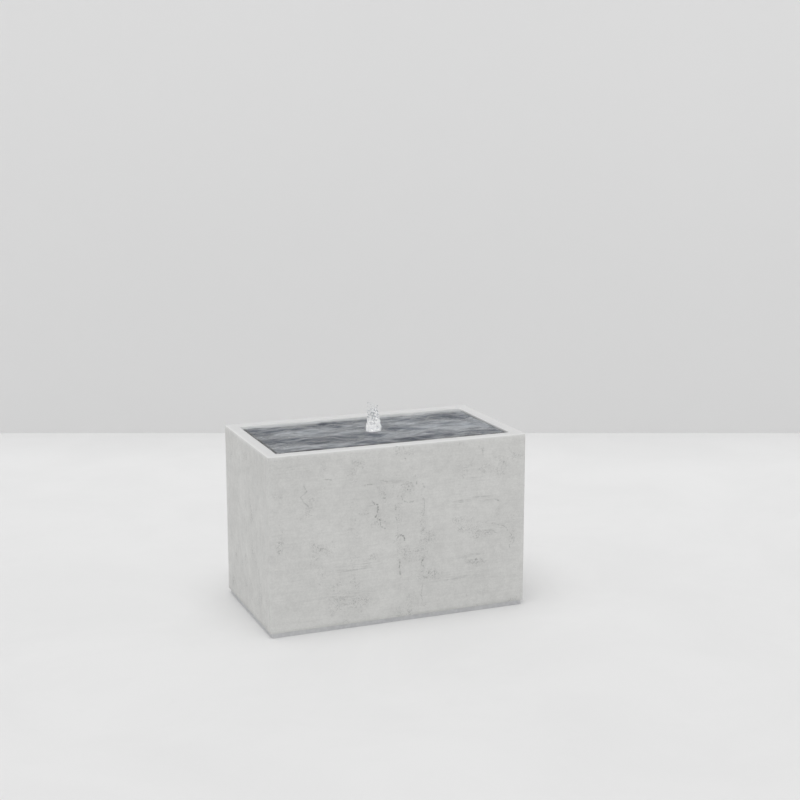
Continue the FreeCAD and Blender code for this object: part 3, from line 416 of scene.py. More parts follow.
def rubber(name, colour, rough=0.78):
    """Rubber: matt, a little dusty, with fine pitting."""
    s = Surface(name)
    dust = s.range(s.noise(45, 4, 0.6), 0.48, 0.75)
    pits = s.range(s.cells(900), 0.1, 0.45)
    mixed = s.mix(s.math("MULTIPLY", dust, 0.35), colour, (0.16, 0.155, 0.145, 1))
    s.relief((pits, 0.05 * MM))
    return s.finish(mixed, s.blend(dust, rough, 0.9))


def metal(name, colour, rough=0.28, brushed=(1, 1, 14), tarnish=(0.2, 0.2, 0.2, 1), amount=0.25):
    """Worked metal: brush lines, tarnish in soft spots and varied gloss."""
    s = Surface(name, Metallic=1.0)
    lines = s.noise(160, 3, 0.6, vector=s.stretched(brushed))
    spots = s.range(s.noise(70, 4, 0.6, 0.3), 0.5, 0.75)
    mixed = s.mix(s.range(lines, 0.3, 0.7), shade(colour, 0.9), shade(colour, 1.08))
    mixed = s.mix(s.math("MULTIPLY", spots, amount), mixed, tarnish)
    s.relief((lines, 0.02 * MM))
    return s.finish(mixed, s.blend(spots, rough, rough + 0.2))


def wood_plastic(name, colour):
    """Recycled plastic bearers: marbled, with pressed wood-like grain."""
    s = Surface(name)
    marble = s.noise(1.0, 5, 0.6, 1.5, vector=s.stretched((60, 9, 60)))
    specks = s.range(s.cells(240), 0.05, 0.2, 1.0, 0.0)
    mixed = s.mix(s.range(marble, 0.3, 0.7), shade(colour, 0.75), shade(colour, 1.35))
    mixed = s.mix(s.math("MULTIPLY", specks, 0.4), mixed, (0.32, 0.33, 0.32, 1))
    s.relief((marble, 0.5 * MM), (s.noise(800, 2), 0.05 * MM))
    return s.finish(mixed, s.range(marble, 0.3, 0.7, 0.62, 0.82))


def ceramic(name, colour):
    s = Surface(name)
    clouds = s.range(s.noise(260, 2), 0.35, 0.7)
    s.relief((s.noise(1800, 2), 0.01 * MM))
    return s.finish(s.mix(clouds, colour, shade(colour, 0.92)), s.blend(clouds, 0.18, 0.26))


def magnet(name, colour):
    """Sintered ferrite: dark grey, dull and granular."""
    s = Surface(name, Metallic=0.4)
    grains = s.cells(1400)
    mixed = s.mix(s.range(grains, 0.1, 0.6), shade(colour, 1.3), shade(colour, 0.8))
    s.relief((grains, 0.04 * MM))
    return s.finish(mixed, s.range(grains, 0.1, 0.6, 0.4, 0.62))


def circuit_board(name, colour):
    """White solder mask with faint copper tracks under it."""
    s = Surface(name)
    tracks = s.range(s.cells(190, "DISTANCE_TO_EDGE"), 0.03, 0.06, 1.0, 0.0)
    mixed = s.mix(s.math("MULTIPLY", tracks, 0.3), colour, (0.62, 0.52, 0.36, 1))
    s.relief((tracks, 0.03 * MM), (s.noise(1200, 2), 0.01 * MM))
    return s.finish(mixed, s.blend(tracks, 0.34, 0.24))


def led_resin(name, colour):
    s = Surface(name)
    depth = s.range(s.noise(900, 2), 0.35, 0.65)
    s.relief((s.noise(2500, 1), 0.005 * MM))
    return s.finish(s.mix(depth, colour, shade(colour, 0.8)), s.blend(depth, 0.12, 0.2))


def lens_glass(name):
    s = Surface(name, IOR=ACRYLIC_IOR, Transmission_Weight=0.9)
    haze = s.range(s.noise(120, 3), 0.4, 0.7)
    s.relief((s.noise(300, 2), 0.01 * MM))
    tint = s.mix(haze, (0.88, 0.93, 0.94, 1), (0.80, 0.86, 0.88, 1))
    return s.finish(tint, s.blend(haze, 0.04, 0.12))


def slot_colour(name):
    for entry in frame["record"]["materials"]:
        if entry["slot"] == name:
            return (*entry["base_color"][:3], 1.0)
    raise KeyError(name)


def slot_materials():
    """One material for each material slot of the frame."""
    made = {
        "concrete": concrete(),
        "still_water": still_water(),
        "white_water": white_water(),
        "plinth_steel": plinth_metal(),
        "lens_glass": lens_glass("lens_glass"),
    }
    kinds = {
        "brass": lambda n, c: metal(n, c, 0.24, (1, 1, 1), (0.20, 0.12, 0.05, 1), 0.45),
        "zinc_steel": lambda n, c: metal(n, c, 0.38, (1, 1, 1), (0.33, 0.32, 0.28, 1), 0.5),
        "stainless": lambda n, c: metal(n, c, 0.22, (1, 1, 12)),
        "black_rubber": rubber,
        "sealant": lambda n, c: rubber(n, c, 0.5),
        "grey_plastic": wood_plastic,
        "basin_plastic": lambda n, c: plastic(n, c, 0.38, 0.12, 0.15),
        "black_plastic": plastic,
        "plug_plastic": plastic,
        "pump_plastic": lambda n, c: plastic(n, c, 0.3, 0.03),
        "impeller_plastic": lambda n, c: plastic(n, c, 0.35, 0.02, 0.1),
        "dial_plastic": lambda n, c: plastic(n, c, 0.4, 0.03, 0.15),
        "strainer_plastic": lambda n, c: plastic(n, c, 0.5, 0.08),
        "riser_plastic": lambda n, c: plastic(n, c, 0.34, 0.02),
        "light_plastic": lambda n, c: plastic(n, c, 0.42, 0.05),
        "magnet": magnet,
        "ceramic_white": ceramic,
        "circuit_board": circuit_board,
        "led_yellow": led_resin,
    }
    for slot, make in kinds.items():
        made[slot] = make(slot, slot_colour(slot))
    return made


def dress_cad_nodes(materials):
    """Gives every CAD node the material of its slot."""
    for part in frame["record"]["subparts"]:
        obj = frame["nodes"][part["node"]]
        for holder in obj.material_slots:
            holder.material = materials[part["material_slot"]]


# ------------------------------------------------------------------ pieces
def add_piece(name, mesh, material, body, slot, *nodes):
    """Adds a mesh as a piece that rides on a body and stands for CAD nodes."""
    piece = bpy.data.objects.new(name, mesh)
    bpy.context.collection.objects.link(piece)
    mesh.materials.append(material)
    mesh.shade_smooth()
    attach(piece, body)
    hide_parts(*nodes)
    return piece


def set_attribute(mesh, name, values):
    layer = mesh.attributes.new(name, "FLOAT", "POINT")
    layer.data.foreach_set("value", np.asarray(values, dtype=np.float32))


def arc(centre, radius, start, end, steps):
    """(inset, height) points on a quarter turn, the first one left out."""
    turns = (start + (end - start) * k / steps for k in range(1, steps + 1))
    return [(centre[0] + radius * math.cos(a), centre[1] + radius * math.sin(a)) for a in turns]


def run(start, end, steps):
    """Points from start to end, the first one left out."""
    return [
        tuple(a + (b - a) * k / steps for a, b in zip(start, end)) for k in range(1, steps + 1)
    ]


# ------------------------------------------------------------------ casing
GRID = 10 * MM  # widest spacing of the casing's mesh
CORNER = 4 * MM  # radius of the casing's upright corners
EDGE = 3 * MM  # of the rim's outer edge
LIP = 3 * MM  # of its inner edge
FOOT_BEVEL = 1 * MM


def casing_section():
    """Closed outline of the wall as (inset from the outer face, height)."""
    steps = round((RIM_TOP - CASING_BOTTOM) / GRID)
    points = [(0.0, CASING_BOTTOM + FOOT_BEVEL)]
    points += run(points[-1], (0.0, RIM_TOP - EDGE), steps)
    points += arc((EDGE, RIM_TOP - EDGE), EDGE, math.pi, math.pi / 2, 4)
    points += run(points[-1], (RIM_WIDTH - LIP, RIM_TOP), 4)
    points += arc((RIM_WIDTH - LIP, RIM_TOP - LIP), LIP, math.pi / 2, 0, 3)
    points += run(points[-1], (RIM_WIDTH, RIM_UNDERSIDE), 3)
    points += run(points[-1], (WALL, RIM_UNDERSIDE), 1)
    points += run(points[-1], (WALL, CASING_BOTTOM), 2)
    points += run(points[-1], (FOOT_BEVEL, CASING_BOTTOM), 1)
    return points


def ring_points(inset, height):
    """One level of the casing: a rectangle with rounded corners."""
    radius = max(CORNER - inset, 0.4 * MM)
    half_x, half_y = HALF_X - inset - radius, HALF_Y - inset - radius
    corners = [(1, -1, -90), (1, 1, 0), (-1, 1, 90), (-1, -1, 180)]
    counts = (round(2 * HALF_Y / GRID), round(2 * HALF_X / GRID))
    points = []
    for k, (sx, sy, turn) in enumerate(corners):
        centre = Vector((sx * half_x, sy * half_y, height))
        for step in range(5):
            a = math.radians(turn + 90 * step / 4)
            points.append(centre + radius * Vector((math.cos(a), math.sin(a), 0)))
        nx, ny, _ = corners[(k + 1) % 4]
        after = Vector((nx * half_x, ny * half_y, height))
        a = math.radians(turn + 90)
        goal = after + radius * Vector((math.cos(a), math.sin(a), 0))
        count = counts[k % 2]
        points += [points[-1].lerp(goal, j / count) for j in range(1, count)]
    return points


FACES = {
    # face: direction it looks in, direction of its width, how far out it lies, half its width
    "front": (Vector((0, -1, 0)), Vector((1, 0, 0)), HALF_Y, HALF_X),
    "right": (Vector((1, 0, 0)), Vector((0, 1, 0)), HALF_X, HALF_Y),
    "back": (Vector((0, 1, 0)), Vector((-1, 0, 0)), HALF_Y, HALF_X),
    "left": (Vector((-1, 0, 0)), Vector((0, -1, 0)), HALF_X, HALF_Y),
}

# Hooked and wormlike marks on the front: (strength, half width in mm, (along, up) points),
# along from 0 at the left end to 1, up from 0 at the foot to 1.
HOOKS = (
    (0.40, 1.5, ((0.13, 0.83), (0.14, 0.79), (0.12, 0.76), (0.13, 0.73), (0.15, 0.70))),
    (0.95, 1.6, ((0.39, 0.69), (0.41, 0.67), (0.41, 0.63), (0.40, 0.60), (0.42, 0.58))),
    (0.60, 1.1, ((0.42, 0.57), (0.42, 0.55), (0.44, 0.53))),
    (0.85, 1.5, ((0.485, 0.46), (0.49, 0.475), (0.50, 0.48), (0.51, 0.475), (0.515, 0.45))),
    (0.75, 1.7, ((0.495, 0.34), (0.493, 0.30), (0.497, 0.25))),
    (0.60, 1.2, ((0.48, 0.66), (0.48, 0.63))),
    (0.55, 1.1, ((0.48, 0.59), (0.485, 0.57))),
    (0.50, 1.0, ((0.50, 0.71), (0.51, 0.68), (0.53, 0.665), (0.55, 0.67))),
    (0.50, 1.0, ((0.50, 0.77), (0.52, 0.79), (0.54, 0.78), (0.545, 0.755))),
    (0.75, 1.6, ((0.585, 0.765), (0.59, 0.745))),
    (0.50, 0.9, ((0.59, 0.68), (0.592, 0.63), (0.59, 0.585))),
    (0.80, 1.6, ((0.59, 0.33), (0.583, 0.31), (0.587, 0.28))),
    (0.45, 1.0, ((0.585, 0.17), (0.58, 0.12), (0.587, 0.07))),
    (0.50, 1.0, ((0.86, 0.49), (0.90, 0.475), (0.925, 0.455), (0.93, 0.43))),
    (0.40, 0.9, ((0.81, 0.455), (0.86, 0.45), (0.885, 0.43))),
    (0.55, 1.1, ((0.36, 0.79), (0.395, 0.795))),
    (0.55, 1.1, ((0.21, 0.85), (0.235, 0.84))),
    (0.45, 1.0, ((0.42, 0.81), (0.45, 0.80), (0.50, 0.80))),
    (0.80, 1.9, ((0.80, 0.285), (0.805, 0.284))),
    (0.60, 1.6, ((0.88, 0.63), (0.89, 0.62))),
)
# Worn places: face, along, up, half length and half height in mm, tilt in degrees, strength.
WORN = (
    ("front", 0.19, 0.455, 52, 15, -28, 1.0),
    ("front", 0.19, 0.33, 12, 34, 0, 0.7),
    ("front", 0.14, 0.67, 14, 26, 0, 0.85),
    ("front", 0.52, 0.755, 30, 26, 0, 0.9),
    ("front", 0.53, 0.95, 18, 12, 0, 0.9),
    ("front", 0.82, 0.93, 14, 14, 0, 0.8),
    ("front", 0.745, 0.98, 22, 9, 0, 0.6),
    ("front", 0.61, 0.45, 34, 26, 0, 1.0),
    ("front", 0.61, 0.23, 52, 24, 0, 0.95),
    ("front", 0.585, 0.50, 12, 170, 0, 0.75),
    ("front", 0.49, 0.50, 14, 170, 0, 0.7),
    ("front", 0.52, 0.38, 22, 22, 0, 0.9),
    ("front", 0.84, 0.44, 40, 18, 0, 0.9),
    ("front", 0.95, 0.40, 14, 36, 0, 0.9),
    ("front", 0.80, 0.27, 40, 14, 0, 0.9),
    ("front", 0.33, 0.12, 70, 26, 0, 0.8),
    ("front", 0.04, 0.50, 16, 46, 0, 0.8),
    ("left", 0.30, 0.62, 18, 26, 0, 0.6),
    ("left", 0.62, 0.40, 26, 30, 20, 0.6),
    ("left", 0.45, 0.15, 40, 20, 0, 0.6),
    ("right", 0.30, 0.70, 30, 18, -20, 0.9),
    ("right", 0.66, 0.42, 18, 60, 0, 0.8),
    ("right", 0.40, 0.18, 50, 22, 0, 0.6),
    ("back", 0.25, 0.60, 50, 18, 25, 0.9),
    ("back", 0.48, 0.45, 14, 150, 0, 0.8),
    ("back", 0.70, 0.72, 30, 24, 0, 0.8),
    ("back", 0.62, 0.22, 60, 24, 0, 0.9),
    ("back", 0.86, 0.38, 34, 26, 0, 0.7),
)
# Bundles of scratches left by the trowel, the same way.
DRAGGED = (
    ("front", 0.78, 0.64, 105, 11, 2, 1.0),
    ("front", 0.78, 0.765, 90, 14, 0, 0.5),
    ("front", 0.32, 0.325, 80, 14, 3, 1.0),
    ("front", 0.31, 0.175, 95, 13, 1, 0.8),
    ("front", 0.77, 0.31, 70, 11, 0, 0.7),
    ("front", 0.79, 0.28, 60, 10, 3, 0.9),
    ("front", 0.72, 0.19, 95, 13, -2, 0.8),
    ("front", 0.48, 0.80, 60, 10, 0, 0.6),
    ("front", 0.85, 0.46, 60, 26, 0, 0.5),
    ("front", 0.10, 0.92, 50, 10, 0, 0.6),
    ("back", 0.30, 0.30, 100, 13, 2, 0.9),
    ("back", 0.75, 0.55, 110, 13, -2, 0.9),
    ("back", 0.45, 0.84, 70, 11, 0, 0.6),
    ("right", 0.55, 0.58, 60, 11, 3, 0.6),
)


MARK_STRAY = 1.6  # mm by which a hooked mark wavers
MARK_WIDTH = 1.45  # times the widths in HOOKS
MARK_STEP = 4 * MM
MARK_DEPTH = 0.6 * MM
CHIP_DEPTH = 0.5 * MM  # of the small marks in a worn place
CHIP_STEP = 2.6 * MM
CHIP_SPREAD = 0.6  # of a worn place's half length and half height
MARGINS = (6 * MM, 3.2 * MM, 1.6 * MM, 0.8 * MM)  # the mesh is halved this near to a mark
WANDER = 0.35 * MM  # how far the cast faces are from flat
OUTER_SKIN = 5 * MM  # the faces this near to the outside wander
HIGHLIGHT_DROP = 5 * MM  # how far the painted highlight along the outer top edge reaches down
HIGHLIGHT_REACH = 4 * MM  # and across


def on_face(face, along, up):
    """A point of a face in the part's frame, from fractions of its length and height."""
    out, wide, reach, half = FACES[face]
    z = CASING_BOTTOM + up * (RIM_TOP - CASING_BOTTOM)
    return out * reach + wide * ((2 * along - 1) * half) + UP * z


def skin_marks():
    """The sunk marks, as (points on the face, half width, depth, darkness)."""
    draw = random.Random(41)
    marks = []
    for strength, width, points in HOOKS:
        ends = [on_face("front", *p) for p in points]
        line = [ends[0]]
        for a, b in zip(ends, ends[1:]):
            steps = max(2, round((b - a).length / MARK_STEP))
            for k in range(1, steps + 1):
                x, z = (draw.uniform(-MARK_STRAY, MARK_STRAY) for _ in range(2))
                line.append(a.lerp(b, k / steps) + Vector((x, 0, z)) * MM)
        marks.append((line, MARK_WIDTH * width * MM, MARK_DEPTH * strength, strength))
    for face, along, up, long, tall, _, strength in WORN:
        wide = FACES[face][1]
        centre = on_face(face, along, up)
        for _ in range(round(3 + (long * tall) ** 0.5 / 7)):
            at = centre + wide * draw.gauss(0, CHIP_SPREAD * long * MM)
            at += UP * draw.gauss(0, CHIP_SPREAD * tall * MM)
            heading = draw.uniform(0, 2 * math.pi)
            bend = draw.uniform(-0.8, 0.8)
            line = [at]
            for _ in range(draw.choice((0, 0, 1, 2, 4))):
                heading += bend + draw.uniform(-0.4, 0.4)
                at = at + (wide * math.cos(heading) + UP * math.sin(heading)) * CHIP_STEP
                line.append(at)
            dark = strength * draw.uniform(0.35, 0.85)
            marks.append((line, draw.uniform(0.8, 1.5) * MM, CHIP_DEPTH * dark, dark))
    return marks


def zone_strength(points, zones):
    """How far each point lies in one of the zones, from 0 to 1."""
    found = np.zeros(len(points))
    for face, along, up, long, tall, tilt, strength in zones:
        out, wide, reach, _ = FACES[face]
        off = points - np.array(on_face(face, along, up))
        a, b = off @ np.array(wide), off[:, 2]
        turn = math.radians(tilt)
        s = (a * math.cos(turn) + b * math.sin(turn)) / (long * MM)
        r = (b * math.cos(turn) - a * math.sin(turn)) / (tall * MM)
        on_this = points @ np.array(out) > reach - 3 * MM
        found = np.maximum(found, strength * np.exp(-(s**2) - r**2) * on_this)
    return found


def distance_to(points, line):
    """Distance of each point to a line of points, or to a single one."""
    line = np.array([tuple(p) for p in line])
    if len(line) == 1:
        return np.linalg.norm(points - line[0], axis=1)
    nearest = np.full(len(points), 1e9)
    for a, b in zip(line, line[1:]):
        span = b - a
        share = np.clip((points - a) @ span / (span @ span), 0, 1)
        nearest = np.minimum(nearest, np.linalg.norm(points - a - share[:, None] * span, axis=1))
    return nearest


def near_marks(points, marks, margin):
    """Which points lie within margin of a mark."""
    found = np.zeros(len(points), dtype=bool)
    for line, width, _, _ in marks:
        ends = np.array([tuple(p) for p in line])
        reach = width + margin
        inside = np.all((points > ends.min(0) - reach) & (points < ends.max(0) + reach), axis=1)
        where = np.flatnonzero(inside)
        if len(where):
            found[where] |= distance_to(points[where], line) < reach
    return found


def refine(bm, marks):
    """Halves the mesh near the marks, once for each margin."""
    for margin in MARGINS:
        faces = list(bm.faces)
        centres = np.array([tuple(f.calc_center_median()) for f in faces])
        close = near_marks(centres, marks, margin)
        edges = {e for f, hit in zip(faces, close) if hit for e in f.edges}
        bmesh.ops.subdivide_edges(bm, edges=list(edges), cuts=1, use_grid_fill=True)


def casing_shell(material):
    """The cast shell with its skin marks sunk into it."""
    section = casing_section()
    rings = [ring_points(inset, height) for inset, height in section]
    count = len(rings[0])
    bm = bmesh.new()
    verts = [[bm.verts.new(p) for p in ring] for ring in rings]
    for k, ring in enumerate(verts):
        above = verts[(k + 1) % len(verts)]
        for j in range(count):
            i = (j + 1) % count
            bm.faces.new((ring[j], ring[i], above[i], above[j]))
    marks = skin_marks()
    refine(bm, marks)
    bm.normal_update()
    points = np.array([tuple(v.co) for v in bm.verts])
    depth = np.zeros(len(points))
    darkness = np.zeros(len(points))
    for line, width, deep, dark in marks:
        ends = np.array([tuple(p) for p in line])
        close = (points > ends.min(0) - 3 * width) & (points < ends.max(0) + 3 * width)
        where = np.flatnonzero(np.all(close, axis=1))
        if not len(where):
            continue
        ragged = np.array([noise.noise(Vector(p) * 420.0) for p in points[where]])
        broken = np.array([noise.noise(Vector(p) * 190.0) for p in points[where]])
        off = distance_to(points[where], line) / (width * (1.0 + 0.7 * ragged))
        shape = np.exp(-(off**2)) * np.clip(0.62 + 1.1 * broken + 0.5 * ragged, 0, 1)
        depth[where] = np.maximum(depth[where], deep * shape)
        darkness[where] = np.maximum(darkness[where], dark * shape)
    for k, v in enumerate(bm.verts):
        x, y, z = v.co
        outside = abs(x) > HALF_X - OUTER_SKIN or abs(y) > HALF_Y - OUTER_SKIN
        wander = noise.fractal(v.co * 6.0, 0.9, 2.0, 4) * WANDER
        shift = (wander if outside or z > RIM_TOP - EDGE else 0.0) - depth[k]
        v.co += v.normal * shift
    mesh = bpy.data.meshes.new("casing_shell")
    bm.to_mesh(mesh)
    bm.free()
    set_attribute(mesh, "mark", darkness)
    set_attribute(mesh, "wear", zone_strength(points, WORN))
    set_attribute(mesh, "drag", zone_strength(points, DRAGGED))
    inset = np.minimum(HALF_X - np.abs(points[:, 0]), HALF_Y - np.abs(points[:, 1]))
    # painted light: the lip above the water and the outer top edge get a near-white painted
    # highlight
    lit_lip = (inset > RIM_WIDTH - 1 * MM) & (points[:, 2] > RIM_UNDERSIDE - 1 * MM)
    below = RIM_TOP - points[:, 2]
    edge_highlight = 0.4 * np.exp(-((below / HIGHLIGHT_DROP) ** 2) - (inset / HIGHLIGHT_REACH) ** 2)
    set_attribute(mesh, "painted_light", np.maximum(lit_lip, edge_highlight))
    add_piece("casing_shell", mesh, material, "fountain", "concrete", "casing")


# ------------------------------------------------------------------ water surface
CELL = 2.9 * MM
EDGE_CELLS = (0.0, 0.5, 1.1, 1.9, 3.0, 4.6)  # spacing beside the walls, in mm
FLARE_ZONE = 95 * MM  # round the jet, where the mesh is twice as fine
HIGHEST_WAVE = 3.4 * MM
WAVES = 48
SHORTEST_WAVE = 34 * MM
WAVE_SPREAD = 140 * MM  # from the shortest wave to the longest
WAVE_TURN = 0.75  # radians by which the waves stray from the Y axis
WAVE_SLOPE = (0.016, 0.034)
RING_SPACING = 12.5 * MM
RING_HEIGHT = 0.65 * MM
RING_START = 20 * MM  # from the jet's axis; the rings reach their height as far again
RING_FADE = 60 * MM
ARC_SPACING = 11.5 * MM
ARC_CENTRE = 30 * MM  # from the jet's axis, where the painted ripple glints are thickest
ARC_REACH = 60 * MM
FOAM_REACH = 36 * MM
BULGE = 0.4 * MM
BULGE_REACH = 34 * MM
BRIM = 20 * MM  # the waves die down this near to the walls
BRIM_DROP = 1 * MM  # and the water sinks by this much
BRIM_FADE = 5 * MM


def graded(half):
    """Places from -half to half, closer together at both ends."""
    ends = [d * MM for d in EDGE_CELLS]
    inner = half - ends[-1]
    middle = np.linspace(-inner, inner, round(2 * inner / CELL) + 1)
    left = [-half + d for d in ends[:-1]]
    return np.array(left + list(middle) + [-v for v in reversed(left)])


def swell(x, y):
    """Height of the moving water: crossing waves, rings round the jet and a bulge under it."""
    draw = random.Random(7)
    total = np.zeros_like(x)
    for k in range(WAVES):
        length = SHORTEST_WAVE + WAVE_SPREAD * (k / (WAVES - 1)) ** 1.6
        way = math.pi / 2 + draw.gauss(0, WAVE_TURN)
        slope = draw.uniform(*WAVE_SLOPE)
        start = draw.uniform(0, 2 * math.pi)
        across = (x * math.sin(way) - y * math.cos(way)) / (2.1 * length)
        bend = 1.1 * np.sin(2 * math.pi * across + start)
        along = (x * math.cos(way) + y * math.sin(way)) / length
        total += slope * length / (2 * math.pi) * np.sin(2 * math.pi * along + start + bend)
    total = HIGHEST_WAVE * np.tanh(total / HIGHEST_WAVE)
    r = np.hypot(x, y)
    wobble = 0.6 * np.sin(5 * np.arctan2(y, x) + 0.7) + 0.4 * np.sin(9 * np.arctan2(y, x))
    rings = np.sin(2 * math.pi * r / RING_SPACING + wobble) * np.exp(-r / RING_FADE)
    total += RING_HEIGHT * rings * np.clip(r / RING_START - 1, 0, 1)
    total += BULGE * np.exp(-((r / BULGE_REACH) ** 2))
    return total


def painted_ring_glints(points):
    """Broken rings of painted glints round the foot of the jet, standing for light mirrored by the
    ripples, from 0 to 1.
    """
    r = np.hypot(points[:, 0], points[:, 1])
    turn = np.arctan2(points[:, 1], points[:, 0])
    wobble = 0.9 * np.sin(7 * turn) + 0.7 * np.sin(4 * turn + 1.1)
    rings = np.sin(2 * math.pi * r / ARC_SPACING + wobble)
    broken = np.array([noise.noise(Vector(p) * 48.0) for p in points])
    fading = np.exp(-(((r - ARC_CENTRE) / ARC_REACH) ** 2))
    return np.clip(2.2 * (rings - 0.45), 0, 1) * np.clip(0.35 + 1.6 * broken, 0, 1) * fading


def water_surface(skin, below):
    """The rippled top of the water, curving down where it meets the walls."""
    half_x, half_y = water_high[0], water_high[1]
    xs, ys = graded(half_x), graded(half_y)
    bm = bmesh.new()
    grid = [[bm.verts.new((x, y, 0)) for x in xs] for y in ys]
    for low, high in zip(grid, grid[1:]):
        for k in range(len(xs) - 1):
            bm.faces.new((low[k], low[k + 1], high[k + 1], high[k]))
    near = [f for f in bm.faces if f.calc_center_median().length < FLARE_ZONE]
    edges = {e for f in near for e in f.edges}
    bmesh.ops.subdivide_edges(bm, edges=list(edges), cuts=1, use_grid_fill=True)
    points = np.array([tuple(v.co) for v in bm.verts])
    x, y = points[:, 0], points[:, 1]
    wall = np.minimum(half_x - np.abs(x), half_y - np.abs(y))
    height = WATER_LEVEL + swell(x, y) * np.clip(wall / BRIM, 0.25, 1)
    height -= BRIM_DROP * np.exp(-wall / BRIM_FADE)
    for v, z in zip(bm.verts, height):
        v.co.z = z
    rim = [e for e in bm.edges if e.is_boundary]
    skirt = bmesh.ops.extrude_edge_only(bm, edges=rim)["geom"]
    for v in skirt:
        if isinstance(v, bmesh.types.BMVert):
            v.co.z = water_low[2]
    lowest = [e for e in skirt if isinstance(e, bmesh.types.BMEdge) and e.is_boundary]
    bmesh.ops.contextual_create(bm, geom=lowest)
    bmesh.ops.recalc_face_normals(bm, faces=list(bm.faces))
    mesh = bpy.data.meshes.new("water_ripples")
    bm.to_mesh(mesh)
    count = len(bm.verts)
    bm.free()
    # the foam round the jet, and the painted ripple glints
    foam, ripple_glints = np.zeros(count), np.zeros(count)
    foam[: len(x)] = np.exp(-((np.hypot(x, y) / FOAM_REACH) ** 4))
    ripple_glints[: len(x)] = painted_ring_glints(points)
    set_attribute(mesh, "foam", foam)
    set_attribute(mesh, "ripple_glints", ripple_glints)
    add_piece("water_ripples", mesh, skin, "fountain", "still_water", "water_surface")
    mesh.materials.append(below)
    for face in mesh.polygons:
        face.material_index = int(face.normal.z < 0.5)


# ------------------------------------------------------------------ jet
FROTH_VOXEL = 1.15 * MM
FROTH_GRAIN = 0.9 * MM
LEVELS = 30  # of lumps in the column
STRANDS = 11
COLUMN_END = 0.74  # share of the jet's height up to which there are lumps
SOLID_END = 0.46  # and from which they thin out
CORE_END = 0.56
COLLAR_LUMPS = 34
TIPS = 19  # ragged tips of the collar, each drawn out in some steps
TIP_STEPS = 6
TIP_HEIGHT = (14, 27)  # mm
TIP_CURL = (1.5, 6.5)  # mm by which a tip leans out
RADIUS = 21.5  # mm, of the column and of the collar
TOP_LEAN = -3 * MM
WAVER = 1.5 * MM
DROPS = 90
DROP_SIZE = (0.6, 2.0)  # mm
DROPS_TOP = 0.93  # share of the jet's height
DROPS_SPAN = 0.50
JET_FOOT = 3 * MM  # how far the froth reaches into the water


def blob(bm, centre, radius, stretch=1.0):
    """Adds a ball of water, drawn out upwards by stretch."""
    made = bmesh.ops.create_icosphere(bm, subdivisions=2, radius=radius)
    for v in made["verts"]:
        v.co.z *= stretch
        v.co += centre


def jet_radius(share):
    """Radius of the column at a share of its height."""
    return (RADIUS + 1.6 * math.sin(share * 9.0 - 1.2) - 3.0 * share**4) * MM


def column_centre(share):
    """Where the middle of the column is: it wavers, and its top leans to one side."""
    lean = TOP_LEAN * share**2
    waver = WAVER * math.sin(share * 7)
    return Vector((lean + waver, 0.3 * waver, WATER_LEVEL + share * (JET_TOP - WATER_LEVEL)))


def column_blobs(bm, draw):
    """Strands and lumps of water round the column, sparser towards the top."""
    for k in range(LEVELS):
        share = k / LEVELS * COLUMN_END
        around = jet_radius(share)
        solid = 1.0 - max(0.0, share - SOLID_END) * 2.4
        centre = column_centre(share)
        for j in range(STRANDS):
            if draw.random() > solid:
                continue
            a = 2 * math.pi * j / STRANDS + k * 0.4 + draw.uniform(-0.25, 0.25)
            off = around * draw.uniform(0.66, 0.92)
            at = centre + Vector((off * math.cos(a), off * math.sin(a), 0))
            size = draw.uniform(2.6, 5.6) * MM * (1.0 - 0.5 * share)
            blob(bm, at, size, draw.uniform(0.8, 1.9))
        if share < CORE_END:
            blob(bm, centre, around * (0.78 - 0.50 * share))


def collar_blobs(bm, draw):
    """The splash round the foot: a low lumpy ring with ragged tips that curl outwards."""
    for k in range(COLLAR_LUMPS):
        a = 2 * math.pi * k / COLLAR_LUMPS
        off = draw.uniform(20, 23) * MM
        at = Vector((off * math.cos(a), off * math.sin(a), WATER_LEVEL))
        blob(bm, at, draw.uniform(2.8, 4.6) * MM, 0.8)
    for k in range(TIPS):
        a = 2 * math.pi * k / TIPS + draw.uniform(-0.12, 0.12)
        tall = draw.uniform(*TIP_HEIGHT) * MM
        out = draw.uniform(*TIP_CURL)
        for j in range(TIP_STEPS):
            share = j / (TIP_STEPS - 1)
            off = (RADIUS + out * share**1.6) * MM
            at = Vector((off * math.cos(a), off * math.sin(a), WATER_LEVEL + share * tall))
            blob(bm, at, (3.8 - 2.2 * share) * MM * draw.uniform(0.8, 1.15))


def loose_drops(bm, draw):
    """Drops thrown clear of the column, most of them at the top."""
    for _ in range(DROPS):
        share = DROPS_TOP - DROPS_SPAN * draw.random() ** 1.3
        a = draw.uniform(0, 2 * math.pi)
        off = jet_radius(min(share, 0.9)) * draw.uniform(0.3, 1.12)
        size = draw.uniform(*DROP_SIZE) * MM
        at = column_centre(share) + Vector((off * math.cos(a), off * math.sin(a), -2.5 * MM))
        blob(bm, at, size, draw.uniform(0.8, 1.6))


